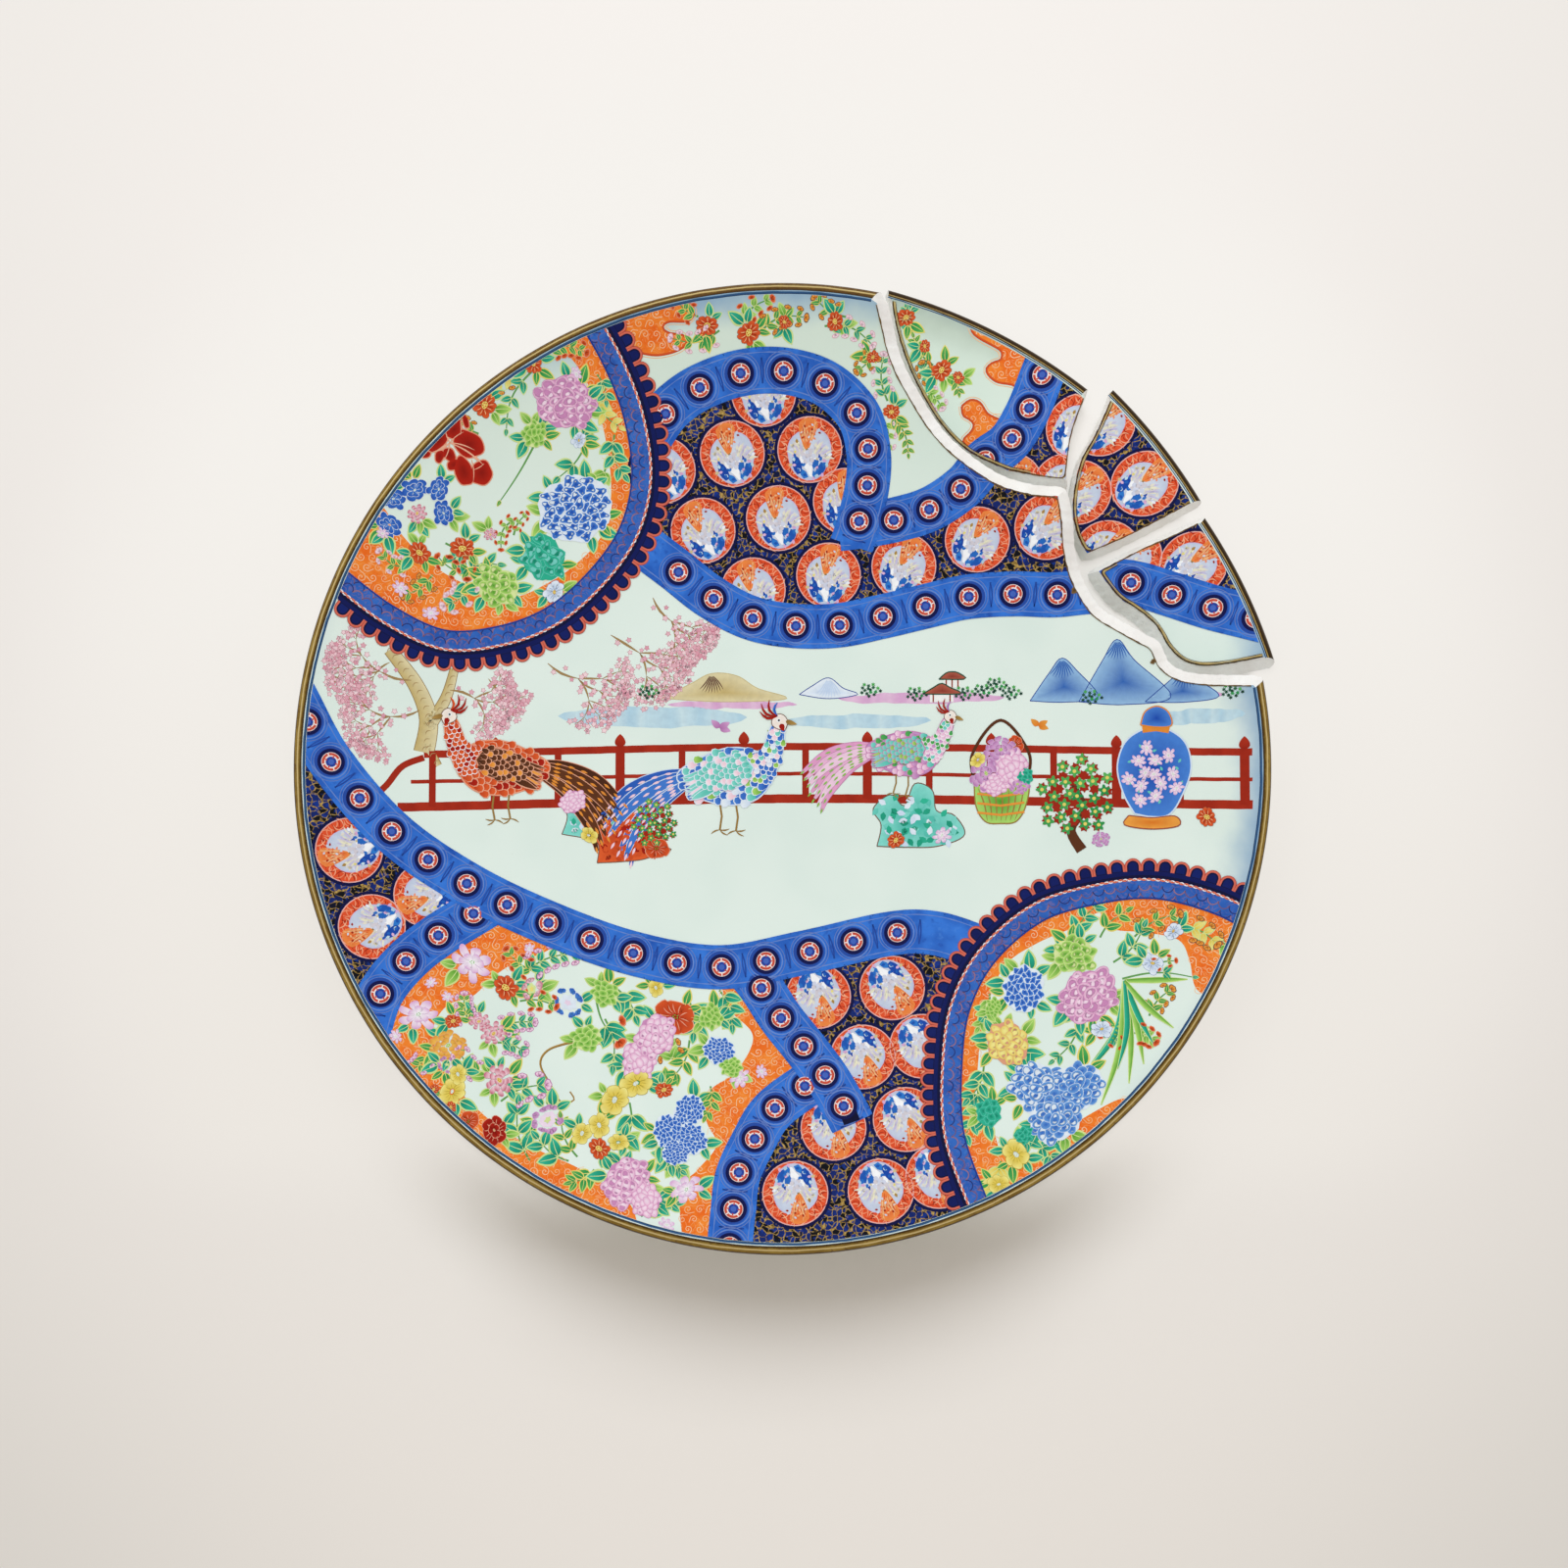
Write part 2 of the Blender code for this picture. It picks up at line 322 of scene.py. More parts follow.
class Finish:
    """A material and its Principled shader. Numbers in fixed go straight on the shader."""

    def __init__(self, name, **fixed):
        self.material = bpy.data.materials.new(name)
        self.material.use_nodes = True
        self.tree = self.material.node_tree
        self.shader = self.tree.nodes["Principled BSDF"]
        for socket, value in fixed.items():
            self.shader.inputs[socket.replace("_", " ").title().replace("Ior", "IOR")].default_value = value

    def node(self, kind, settings=None, inputs=None, out=0):
        """Makes a node: settings first, then a number, colour or Wire for each named socket."""
        node = self.tree.nodes.new(kind)
        for key, value in (settings or {}).items():
            if key == "stops":
                ramp = node.color_ramp
                for place, shade in value[2:]:
                    ramp.elements.new(place).color = shade
                for element, (place, shade) in zip(ramp.elements, sorted(value, key=lambda stop: stop[0])):
                    element.position, element.color = place, shade
            else:
                setattr(node, key, value)
        for key, value in (inputs or {}).items():
            socket = node.inputs[key] if isinstance(key, int) else next(
                s for s in node.inputs if key in (s.identifier, s.name) and s.enabled)
            if isinstance(value, Wire):
                self.tree.links.new(value.output, socket)
            else:
                socket.default_value = value
        output = node.outputs[out] if isinstance(out, int) else next(
            s for s in node.outputs if out in (s.identifier, s.name) and s.enabled)
        return Wire(self, output)

    def mix(self, factor, first, second, blend="MIX"):
        """Colour between first and second."""
        return self.node("ShaderNodeMix", {"data_type": "RGBA", "blend_type": blend},
                         {"Factor_Float": factor, "A_Color": first, "B_Color": second}, "Result_Color")

    def place(self):
        """Place on the object itself, in metres."""
        return self.node("ShaderNodeTexCoord", out="Object")

    def paint(self):
        """The colour that each point of a film carries."""
        return self.node("ShaderNodeAttribute", {"attribute_name": "paint"}, {}, "Color")

    def parts(self, place, *names):
        """The named parts of a place, such as X and Y."""
        return [self.node("ShaderNodeSeparateXYZ", {}, {0: place}, name) for name in names]

    def plan(self):
        """Place in the whole dish's plan, in mm from its axis, wherever the piece now lies."""
        uv = self.node("ShaderNodeUVMap", {"uv_map": "dish"})
        return self.node("ShaderNodeVectorMath", {"operation": "MULTIPLY_ADD"},
                         {0: uv, 1: (PLAN_SPAN,) * 3, 2: (-PLAN_SPAN / 2, -PLAN_SPAN / 2, 0)})

    def noise(self, place, scale, detail=3.0, roughness=0.5):
        return self.node("ShaderNodeTexNoise", {},
                         {"Vector": place, "Scale": scale, "Detail": detail, "Roughness": roughness})

    def warped(self, place, scale, reach):
        """The place shifted by up to reach along x and y, by the three channels of a noise's colour."""
        warp = self.node("ShaderNodeTexNoise", {}, {"Vector": place, "Scale": scale, "Detail": 1.0}, "Color")
        return self.node("ShaderNodeVectorMath", {"operation": "MULTIPLY_ADD"},
                         {0: warp, 1: (reach, reach, 0), 2: place})

    def cells(self, place, scale, spread, out, **settings):
        """Cells round scattered points, as irregular as spread says."""
        return self.node("ShaderNodeTexVoronoi", settings,
                         {"Vector": place, "Scale": scale, "Randomness": spread}, out)

    def feed(self, **links):
        for socket, wire in links.items():
            self.tree.links.new(wire.output, self.shader.inputs[socket.replace("_", " ").title()])
        return self

    def bump(self, height, strength, distance):
        """Feeds the shader's normal from a height, in metres at a full step."""
        return self.feed(Normal=self.node("ShaderNodeBump", {}, {"Height": height, "Strength": strength,
                                                                 "Distance": distance}))


PLAN_SPAN = 500.0                 # the plan square that the map called dish covers
print("material kit ready")

# %% [markdown]
# ## Floor
# The floor is a wide sheet. Its colour falls from a warm white at the back to a warm grey in front
# and at the front corners, as the light on a lit studio sweep does, so this fall of light is painted
# on the floor and not made with more light. A soft grey ellipse in front of the dish is a painted
# shadow. Beside and behind the dish, most of what the camera sees is a painted glow of the sheet's
# own even tone, so that the shadow gathers under the dish and in front of it and stays faint round
# its sides.

# %% The floor and its colour
FLOOR_BACK, FLOOR_FRONT, FLOOR_SIDES = colour("F7F1EC"), colour("F5EEE6"), colour("DDD8D1")
FLOOR_SHADED, FLOOR_LIT_FRONT, FLOOR_LIT_BACK = colour("A4968A"), colour("EDE8E1"), colour("F6F3EE")
FLOOR_GLOW = 0.88                 # share of the floor's look that the shadow can't darken, at the sides
UNDER_DISH = (0.0493, 0.0543)     # squares of the two radii where the full shadow under the dish ends
UNDER_SHARDS = (0.215, 0.24)      # the same at the upper right, as sums of x and y, in metres


def floor_finish():
    """Warm white to warm grey with a painted fall of light to the front and sides, a painted shadow in front
    of the dish, and a painted glow that only the camera sees.
    """
    finish = Finish("studio_floor", roughness=0.9, specular_ior_level=0.1)
    x, y = finish.parts(finish.place(), "X", "Y")
    front = (y * -1.0).step(0.0, 0.45)
    sides = (x * x + y * y * 0.4).step(0.03, 0.22)
    shade = finish.mix(front, FLOOR_BACK, FLOOR_FRONT)
    # Painted fall of light: darker towards the sides, most at the front corners.
    shade = finish.mix(sides * (front * 0.42 + 0.26), shade, FLOOR_SIDES)
    # A painted shadow: a soft grey ellipse in front of the dish.
    below = 1.0 - (x * x * 0.22 + (y + 0.24) * (y + 0.24)).step(0.0002, 0.006)
    shade = finish.mix(below * 0.15, shade, FLOOR_SHADED)
    finish.feed(Base_Color=shade)
    # A painted glow: emission seen only by camera, glossy and transmission rays, which lifts the shadow
    # beside and behind the dish.
    lit = finish.mix(y.step(-0.2, 0.25), FLOOR_LIT_FRONT, FLOOR_LIT_BACK)
    glow = finish.node("ShaderNodeEmission", {}, {"Color": lit})
    seen = finish.node("ShaderNodeLightPath", out="Is Camera Ray")
    for ray in ("Is Glossy Ray", "Is Transmission Ray"):
        seen = seen.math("MAXIMUM", finish.node("ShaderNodeLightPath", out=ray))
    square = x * x + y * y
    beside = square.step(*UNDER_DISH).math("MAXIMUM", (x + y).step(*UNDER_SHARDS) * 0.6)
    calm = y.step(-0.225, -0.165) * (1.0 - square.step(0.08, 0.16)) * beside * FLOOR_GLOW
    lit_by_lamps = Wire(finish, finish.shader.outputs[0])
    both = finish.node("ShaderNodeMixShader", {}, {0: calm * seen, 1: lit_by_lamps, 2: glow})
    finish.tree.links.new(both.output, finish.tree.nodes["Material Output"].inputs["Surface"])
    return finish.material


def floor_sheet(half=6.0):
    """A square sheet, half its width to each side."""
    mesh = bpy.data.meshes.new("floor")
    mesh.from_pydata([(x, y, 0.0) for x, y in ((-half, -half), (half, -half), (half, half), (-half, half))],
                     [], [(0, 1, 2, 3)])
    floor = bpy.data.objects.new("floor", mesh)
    floor.data.materials.append(floor_finish())
    scene.collection.objects.link(floor)


floor_sheet()
print("floor sheet laid")

# %% [markdown]
# ## The porcelain
# The four pieces are clean-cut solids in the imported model. Each is made again here as a fan: columns
# run from the middle of the face out to the edge, down the break or round the lip, and back to the
# middle of the underside. A fan keeps the surface smooth everywhere and puts many close columns
# along the break, where the clay is rough.

# %% Putting a grid into a mesh
def fan_faces(rows, columns):
    """Quads of a grid that closes on itself along its columns, and a ring of triangles at each end."""
    row, column = np.meshgrid(np.arange(rows - 1), np.arange(columns), indexing="ij")
    following = (column + 1) % columns
    quads = np.stack([row * columns + column, (row + 1) * columns + column,
                      (row + 1) * columns + following, row * columns + following], -1).reshape(-1, 4)
    each = np.arange(columns)
    after = (each + 1) % columns
    top, bottom = rows * columns, rows * columns + 1
    last = (rows - 1) * columns
    first_ring = np.column_stack([np.full(columns, top), each, after])
    last_ring = np.column_stack([last + each, np.full(columns, bottom), last + after])
    return quads, first_ring, last_ring


def add_map(mesh, name, places):
    """A UV map from one place per vertex."""
    corners = np.zeros(len(mesh.loops), np.int32)
    mesh.loops.foreach_get("vertex_index", corners)
    layer = mesh.uv_layers.new(name=name)
    layer.data.foreach_set("uv", places[corners].astype(np.float32).ravel())


def new_object(name, points, faces, plan):
    """A mesh object from points in metres, faces and each point's place in the whole dish's plan."""
    mesh = bpy.data.meshes.new(name)
    mesh.from_pydata(points, [], faces)
    add_map(mesh, "dish", plan / PLAN_SPAN + 0.5)
    made = bpy.data.objects.new(name, mesh)
    scene.collection.objects.link(made)
    return made


# %% Laying a shard on the table
def rotation(axis, angle):
    """Rodrigues' formula for a turn about a unit axis, as a 3 by 3 matrix."""
    x, y, z = axis
    cross = np.array([[0, -z, y], [z, 0, -x], [-y, x, 0]])
    return np.eye(3) + math.sin(angle) * cross + (1 - math.cos(angle)) * cross @ cross


def at_rest(name):
    """The turn and the shift, in mm, that lay a piece down: none for the body."""
    if name not in REST:
        return np.eye(3), np.zeros(3)
    rest = REST[name]
    angle, radius = math.radians(rest["angle"]), rest["radius"]
    touch = np.array([radius * math.cos(angle), radius * math.sin(angle), underside_height(radius)])
    slope = math.atan(underside_height(radius + 0.5) - underside_height(radius - 0.5))
    level = rotation((-math.sin(angle), math.cos(angle), 0), slope)
    turn = rotation((0, 0, 1), math.radians(rest["turn"])) @ level
    place = np.array([touch[0] + rest["slide"][0], touch[1] + rest["slide"][1], 0])
    return turn, place - turn @ touch


LAID = {name: at_rest(name) for name in PIECES}
HAIR = 0.9985                     # everything is drawn this much smaller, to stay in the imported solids


def laid(name, points):
    """Points in mm in the whole dish, moved to where the piece lies, in metres."""
    turn, shift = LAID[name]
    return (points @ turn.T + shift) * MM * HAIR


# %% The grid of one piece
FACE_ROWS = {"dish_body": 60, "upper_shard": 26, "middle_shard": 22, "lower_shard": 26}
WALL_ROWS = 12
FAN_CENTRES = {"dish_body": (0.0, 0.0), "upper_shard": (97.0, 178.0), "middle_shard": (161.0, 131.0),
               "lower_shard": (193.0, 72.0)}
RIM_STEP = 3.6
BREAK_ROUGHNESS = 0.35
FOOT_ROWS = ((FOOT_RADIUS + 14, None), (FOOT_RADIUS + 6, None), (FOOT_RADIUS + FOOT_FLARE, None),
             (FOOT_RADIUS + 0.8, 2.2), (FOOT_RADIUS + 0.2, 0.5), (FOOT_RADIUS - 0.5, 0.0),
             (FOOT_RADIUS - FOOT_WIDTH + 0.5, 0.0), (FOOT_RADIUS - FOOT_WIDTH - 0.2, 0.5),
             (FOOT_RADIUS - FOOT_WIDTH - 0.8, 2.2), (FOOT_RADIUS - FOOT_WIDTH - FOOT_FLARE, None),
             (118, None), (96, None), (72, None), (48, None), (24, None), (10, None))


def columns_of(name):
    """Edge of the face, edge of the underside and the wall between them, one column per place."""
    line, outward, reach = broken_line(name)
    keep = np.hypot(*line.T) < LIP_START - 0.5
    along = np.arange(len(line))[keep] * BREAK_STEP
    line, outward, reach = line[keep], outward[keep], reach[keep]
    t = np.linspace(0, 1, WALL_ROWS)[:, None]
    foot = line + outward * reach[:, None]
    top, bottom = face_height(np.hypot(*line.T)), underside_height(np.hypot(*foot.T))
    rough = ripple(along[None] + 3 * t, 4.3, 5) * 0.6 + ripple(along[None] * 0.7 - 9 * t, 2.1, 9) * 0.4
    rough = BREAK_ROUGHNESS * rough * np.sin(math.pi * t) ** 0.5
    wall = line[None] + outward[None] * (reach[None, :, None] * t[..., None] + rough[..., None])
    broken = np.dstack([wall, top + (bottom - top) * t])
    first, last = rim_span(name)
    turn = np.linspace(first, last, max(6, round((last - first) * RIM / RIM_STEP)))[None]
    radius, height = lip_point(t)
    bare = BREAKS[name][1]
    lean = np.zeros(turn.shape[1])
    lean[0], lean[-1] = -bare[-1] / RIM, bare[0] / RIM
    turn = turn + lean * t
    round_lip = np.dstack([radius * np.cos(turn), radius * np.sin(turn), np.broadcast_to(height, turn.shape)])
    return np.concatenate([broken, round_lip], 1), broken.shape[1]


def piece_grid(name):
    """All rows of a piece, from the middle of the face to the middle of the underside, in mm."""
    wall, broken = columns_of(name)
    centre = np.array(FAN_CENTRES[name])
    rows = FACE_ROWS[name]
    t = np.linspace(0, 1, rows + 1)[1:-1, None, None]
    plan = centre + t * (wall[0, :, :2] - centre)
    face = np.dstack([plan, face_height(np.hypot(plan[..., 0], plan[..., 1]))])
    low = wall[-1, :, :2]
    if name == "dish_body":
        way = low / np.hypot(*low.T)[:, None]
        t = np.linspace(0, 1, 16)[1:-1, None, None]
        slope = low + t * (way * FOOT_ROWS[0][0] - low)
        rings = np.array([radius * way for radius, _ in FOOT_ROWS])
        plan = np.concatenate([slope, rings])
        height = underside_height(np.hypot(plan[..., 0], plan[..., 1]))
        for number, (_, fixed) in enumerate(FOOT_ROWS):
            if fixed is not None:
                height[len(slope) + number] = fixed
        foot_flat = (len(face) + len(wall) + len(slope) + 4, len(face) + len(wall) + len(slope) + 7)
    else:
        plan = centre + (1 - t) * (low - centre)
        height = underside_height(np.hypot(plan[..., 0], plan[..., 1]))
        foot_flat = (0, 0)
    under = np.dstack([plan, height])
    grid = np.concatenate([face, wall, under])
    return grid, centre, broken, (len(face), len(face) + len(wall) - 1), foot_flat


grids = {name: piece_grid(name) for name in PIECES}
print({name: grids[name][0].shape[:2] for name in PIECES})

# %% [markdown]
# ## Glaze and bare clay
# The glaze is a slightly green white with a thin glassy skin, painted darker and greener towards the
# back as shade. Under it a little cobalt has run down from the rim, strongest at the back and on the
# right; on the upper shard that wash is painted grey-green and weaker, as shade. Where the dish has
# parted the clay is bare: warm white, matt and grainy, with a thin dark line where the glaze ends,
# painted as the shade of the break's edge.

# %% Two finishes for the four pieces
def glaze_finish():
    """Green-white glaze with a cobalt wash near the rim, and specks. Painted shade makes it darker and
    greener towards the back, and turns the wash grey-green and weaker on the upper shard.
    """
    finish = Finish("white_glaze", roughness=0.16, ior=1.5, specular_ior_level=0.3)
    plan = finish.plan()
    x, y = finish.parts(plan, "X", "Y")
    radius = finish.node("ShaderNodeVectorMath", {"operation": "LENGTH"}, {0: plan}, "Value")
    cloud = finish.noise(plan, 0.02, 2.0)
    shade = finish.mix(cloud.step(0.35, 0.7), colour("E6F2E9"), colour("E0EEE5"))
    # Painted shade: the glaze darker and greener towards the back.
    shade = finish.mix(y.step(60.0, 230.0) * 0.6, shade, colour("D3E3D0"))
    back = (y / radius).step(0.72, 0.97)
    right = (x / radius).step(0.90, 0.99)
    wash = (radius + finish.noise(plan, 0.045, 3.0) * 16).step(215.0, 239.0) * back.math("MAXIMUM", right)
    # Painted shade on the upper shard: the cobalt wash there turns grey-green and weaker.
    shaded = (x - 44.0).step(0.0, 4.0) * (y - 150.0).step(0.0, 20.0)
    strength = wash * (0.85 - shaded * 0.25)
    shade = finish.mix(strength, shade, finish.mix(shaded, colour("6F9BC4"), colour("8F9C86")))
    pool = radius.step(219.0, 228.0)
    shade = finish.mix(pool * 0.18, shade, colour("8FA9BE"))
    specks = finish.noise(plan, 0.9, 2.0).step(0.74, 0.78)
    shade = finish.mix(specks * 0.16, shade, colour("A5A08C"))
    finish.feed(Base_Color=shade, Roughness=finish.noise(plan, 0.12).step(0.3, 0.75) * 0.07 + 0.13)
    return finish.bump(finish.noise(plan, 0.06, 2.0), 0.25, 0.0004).material


def clay_finish():
    """Warm white clay, cloudy at two sizes, with a fine dark grain that also roughens it."""
    finish = Finish("bare_clay", roughness=0.85, specular_ior_level=0.2)
    place = finish.place()
    patches = finish.noise(place, 60.0, 4.0)
    grain = finish.noise(place, 700.0, 3.0, 0.7)
    shade = finish.mix(patches.step(0.35, 0.68), colour("FCFAF6"), colour("F2EEE9"))
    shade = finish.mix(finish.noise(place, 25.0, 3.0).step(0.5, 0.75) * 0.35, shade, colour("E4DACB"))
    shade = finish.mix(grain.step(0.62, 0.75) * 0.25, shade, colour("D3C9C0"))
    finish.feed(Base_Color=shade)
    return finish.bump(grain * 0.6 + patches * 0.4, 0.7, 0.0006).material


GLAZE, CLAY = glaze_finish(), clay_finish()


# %% The four pieces
def porcelain_piece(name):
    """The fan of one piece as a closed mesh, laid down, with bare clay on its breaks and foot."""
    grid, centre, broken, (edge, foot), flat = grids[name]
    rows, columns = grid.shape[:2]
    radius = math.hypot(*centre)
    poles = np.array([[*centre, face_height(radius)], [*centre, underside_height(radius)]])
    points = np.vstack([grid.reshape(-1, 3), poles])
    moved = laid(name, points)
    if name in REST:                       # settle the lowest point on the table
        LAID[name][1][2] += 0.05 - moved[:, 2].min() / MM
        moved = laid(name, points)
    quads, top, bottom = fan_faces(rows, columns)
    faces = quads.tolist() + top.tolist() + bottom.tolist()
    made = new_object(name + "_porcelain", moved, faces, points[:, :2])
    row, column = quads[:, 0] // columns, quads[:, 0] % columns
    bare = (row >= edge) & (row < foot) & ((column < broken) | (column == columns - 1))
    bare |= (row >= flat[0]) & (row < flat[1])
    index = np.zeros(len(made.data.polygons), np.int32)
    index[: len(quads)] = bare
    made.data.materials.append(GLAZE)
    made.data.materials.append(CLAY)
    made.data.polygons.foreach_set("material_index", index)
    made.data.shade_smooth()
    made.data.set_sharp_from_angle(angle=math.radians(38))
    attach(made, "root")
    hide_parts(name)
    print(name, "has", 2 * len(quads) + 2 * columns, "triangles, drop", round(float(LAID[name][1][2]), 3))
    return made


for name in PIECES:
    porcelain_piece(name)

# %% [markdown]
# ## Painting in coats
# Overglaze enamel is a thin coat that stands a little proud of the glaze, so each painted shape here
# is a thin mesh a few hundredths of a millimetre above the face. A shape is drawn flat in the plan
# of the whole dish. Laying the coat then does three things: it lifts every point to the face, cuts
# the coat where the dish has broken, and moves each part with its shard. So the painting runs on
# across a break as it did before the dish fell.
#
# A shape's colour comes from a small palette of pairs. Each point says how far it is from the first
# colour of its pair to the second, which gives the soft shading inside a petal.

# %% The palette of enamels
PALETTE = {
    "navy": ("080E48", "122878"), "ink": ("0B0B16", "0B1248"), "cobalt": ("2E5EB6", "3D73CC"),
    "cobalt_line": ("1E3E92", "2850A8"), "faint_ring": ("5C68A6", "6C8CD0"),
    "bead_red": ("BE3A2C", "D8583E"), "bead_white": ("F4DDD8", "FFF3EE"), "bead_blue": ("22409C", "4A6CC4"),
    "bead_ink": ("06082A", "0A1250"), "salmon": ("B4443C", "E4745C"), "cord": ("CC5038", "E8805C"),
    "dash": ("DCE4F2", "F4F0F0"), "roundel": ("D84420", "E8562E"), "roundel_edge": ("E8A8A4", "F4C8BE"),
    "streak": ("F4845A", "FAB892"), "ember": ("9C2410", "BE3418"), "plume": ("EA6430", "F48E46"),
    "plume_line": ("E04C20", "FBC48A"), "wing": ("E2E7EF", "C6D0E4"), "wing_line": ("B4BCDC", "FFFFFF"),
    "bird_blue": ("1646A8", "2E7CD0"), "bird_green": ("6E9A4C", "B9C46A"), "curl": ("F6B070", "FDDDB8"),
    "gold": ("8A6A30", "BE9650"), "ground_line": ("F6A866", "FBD0A2"), "cloud_edge": ("C8441C", "E0602C"),
    "pink": ("E080BA", "FCE4F0"), "pink_line": ("C070A6", "D898C4"), "azure": ("3068C2", "6CA2E0"),
    "canary": ("E4B830", "FAF094"), "blush": ("F2B9CC", "FCE9EE"), "blue": ("1446AC", "4C88DA"),
    "blue_pale": ("C8DAF2", "EFF6FA"), "yellow": ("E2C43C", "F8EE94"), "yellow_line": ("A08828", "D4BC48"),
    "lime": ("4E9C26", "B4E070"), "lime_line": ("C0D468", "E6F2B0"), "teal": ("058466", "36C09C"),
    "leaf": ("1E8E4A", "5CB65A"), "red": ("C03A14", "E8622E"), "crimson": ("8E1206", "B8200E"),
    "crimson_line": ("E89070", "F4B898"), "orange": ("E07820", "F4A848"), "stem": ("3E8E50", "8CB85C"),
    "twig": ("9A7A4A", "BFA070"), "mauve": ("B06CA8", "DCA8D4"), "white": ("F2F4EC", "FFFFFF"),
    "outline": ("6A4A3C", "8C6450"), "railing": ("98200E", "B8341C"), "sand": ("C8B070", "E4D8AC"),
    "lake": ("A8CEE2", "D8ECEE"), "mist": ("D89CCC", "F0CFE4"), "peak": ("2C62B4", "9CC4E6"),
    "pine": ("143C2C", "2C6448"), "roof": ("8C3A2C", "B8604C"), "skin": ("F4E4D4", "FBF2E8"),
    "brown": ("3C1E10", "6A3A1E"), "cherry": ("E09AAA", "FBE0E2"),
    "cherry_line": ("B85A70", "D08090"), "turquoise": ("34B8A4", "8CE0D2"), "purple": ("98549C", "CE9CD0"),
    "rosy": ("C2405E", "F8D4DC"), "rosy_line": ("B0506C", "E8A4B4"), "petal": ("E0A4D6", "FCF4F8"),
    "petal_line": ("B888C0", "E4C4E4"), "saffron": ("E08C2C", "F6C45C"),
    "saffron_line": ("C46A4A", "F0B08C"), "scale_line": ("1C3478", "9C7080"), "painted_highlight": ("B49658", "DCC68C"),
    "pastel": ("C4BCE4", "F4EFC8"), "rim_blue": ("203C60", "3E6894"),
    "rim_brown": ("2E2010", "5C4424"), "stain": ("4A3420", "86683C"), "ochre": ("A88C50", "CBB47C"),
}
TONES = {name: number for number, name in enumerate(PALETTE)}
FIRST = np.array([colour(pair[0])[:3] for pair in PALETTE.values()])
SECOND = np.array([colour(pair[1])[:3] for pair in PALETTE.values()])
COAT = 0.02                       # thickness of one coat, in mm
GOLDEN = 0.6180339887             # steps by this share never repeat


def spread(count, seed=0):
    """Numbers from 0 to 1 that never cluster: multiples of the golden share, less whole ones."""
    return (np.arange(count) * GOLDEN + seed * 0.377) % 1.0


def jump(number, step=GOLDEN):
    """A share from 0 to 1 that jumps about as the number counts up."""
    return (number * step) % 1


# %% A layer collects shapes and lays them on the dish
class Layer:
    """Flat shapes in the plan, in mm: points, triangles, a tone, a shade and a lift for each point."""

    def __init__(self):
        self.points, self.faces, self.tones, self.shades, self.lifts, self.count = [], [], [], [], [], 0

    def add(self, shape, tone, lift, shades=None):
        """A shape is (points, faces, shades). lift counts coats above the glaze."""
        points, faces, own = shape
        faces = np.asarray(faces)
        if faces.shape[1] == 4:
            faces = np.vstack([faces[:, :3], faces[:, [0, 2, 3]]])
        self.points.append(points)
        self.faces.append(faces + self.count)
        self.tones.append(np.full(len(points), TONES[tone]))
        self.shades.append(np.broadcast_to(own if shades is None else shades, len(points)))
        self.lifts.append(np.full(len(points), lift * COAT))
        self.count += len(points)

    def take(self, other, centre, size, turn, lift=0.0):
        """All shapes of another layer, sized, turned and moved."""
        c, s = size * math.cos(turn), size * math.sin(turn)
        for points, faces, tones, shades, lifts in zip(other.points, other.faces, other.tones,
                                                       other.shades, other.lifts):
            self.points.append(points @ np.array([[c, s], [-s, c]]) + centre)
            self.faces.append(faces + self.count)
            self.tones.append(tones)
            self.shades.append(shades)
            self.lifts.append(lifts + lift * COAT)
        self.count += other.count


def inside(outline, points):
    """Which points lie inside a closed outline, by counting how often a ray to the right crosses it."""
    start, stop = outline, np.roll(outline, -1, axis=0)
    result = np.zeros(len(points), bool)
    low, high = outline.min(0), outline.max(0)
    near = np.flatnonzero(((points >= low) & (points <= high)).all(1))
    for part in np.array_split(near, max(1, len(near) // 20000 + 1)):
        x, y = points[part, 0, None], points[part, 1, None]
        above = (start[:, 1] > y) != (stop[:, 1] > y)
        rise = np.where(stop[:, 1] == start[:, 1], 1e-9, stop[:, 1] - start[:, 1])
        cross = start[:, 0] + (y - start[:, 1]) * (stop[:, 0] - start[:, 0]) / rise
        result[part] = (above & (x < cross)).sum(1) % 2 == 1
    return result


def nearest_on(outline, points):
    """The nearest place on a closed outline to each point."""
    start = outline[None]
    way = np.roll(outline, -1, axis=0)[None] - start
    length = np.maximum((way ** 2).sum(-1), 1e-12)
    t = np.clip(((points[:, None] - start) * way).sum(-1) / length, 0, 1)
    places = start + t[..., None] * way
    best = ((places - points[:, None]) ** 2).sum(-1).argmin(1)
    return places[np.arange(len(points)), best]


def doubled_areas(points, faces):
    """Twice each triangle's area in the plan, below 0 where its corners run clockwise."""
    a, b, c = (points[faces[:, k]] for k in range(3))
    return (b - a)[:, 0] * (c - a)[:, 1] - (b - a)[:, 1] * (c - a)[:, 0]


def face_up(points, faces):
    """The triangles with their corners anticlockwise, so that each one faces upwards."""
    return np.where((doubled_areas(points, faces) < 0)[:, None], faces[:, ::-1], faces)


OUTLINES = {name: paint_outline(name) for name in PIECES}


def cut_to(name, points, faces):
    """Triangles on one piece. Corners that fall off it are drawn in to its edge."""
    kept = inside(OUTLINES[name], points)
    faces = faces[kept[faces].any(1)]
    if not len(faces):
        return points, faces
    off = np.unique(faces[~kept[faces]])
    points = points.copy()
    for part in np.array_split(off, len(off) // 400 + 1):
        if len(part):
            points[part] = nearest_on(OUTLINES[name], points[part])
    return points, faces[doubled_areas(points, faces) > 1e-4]


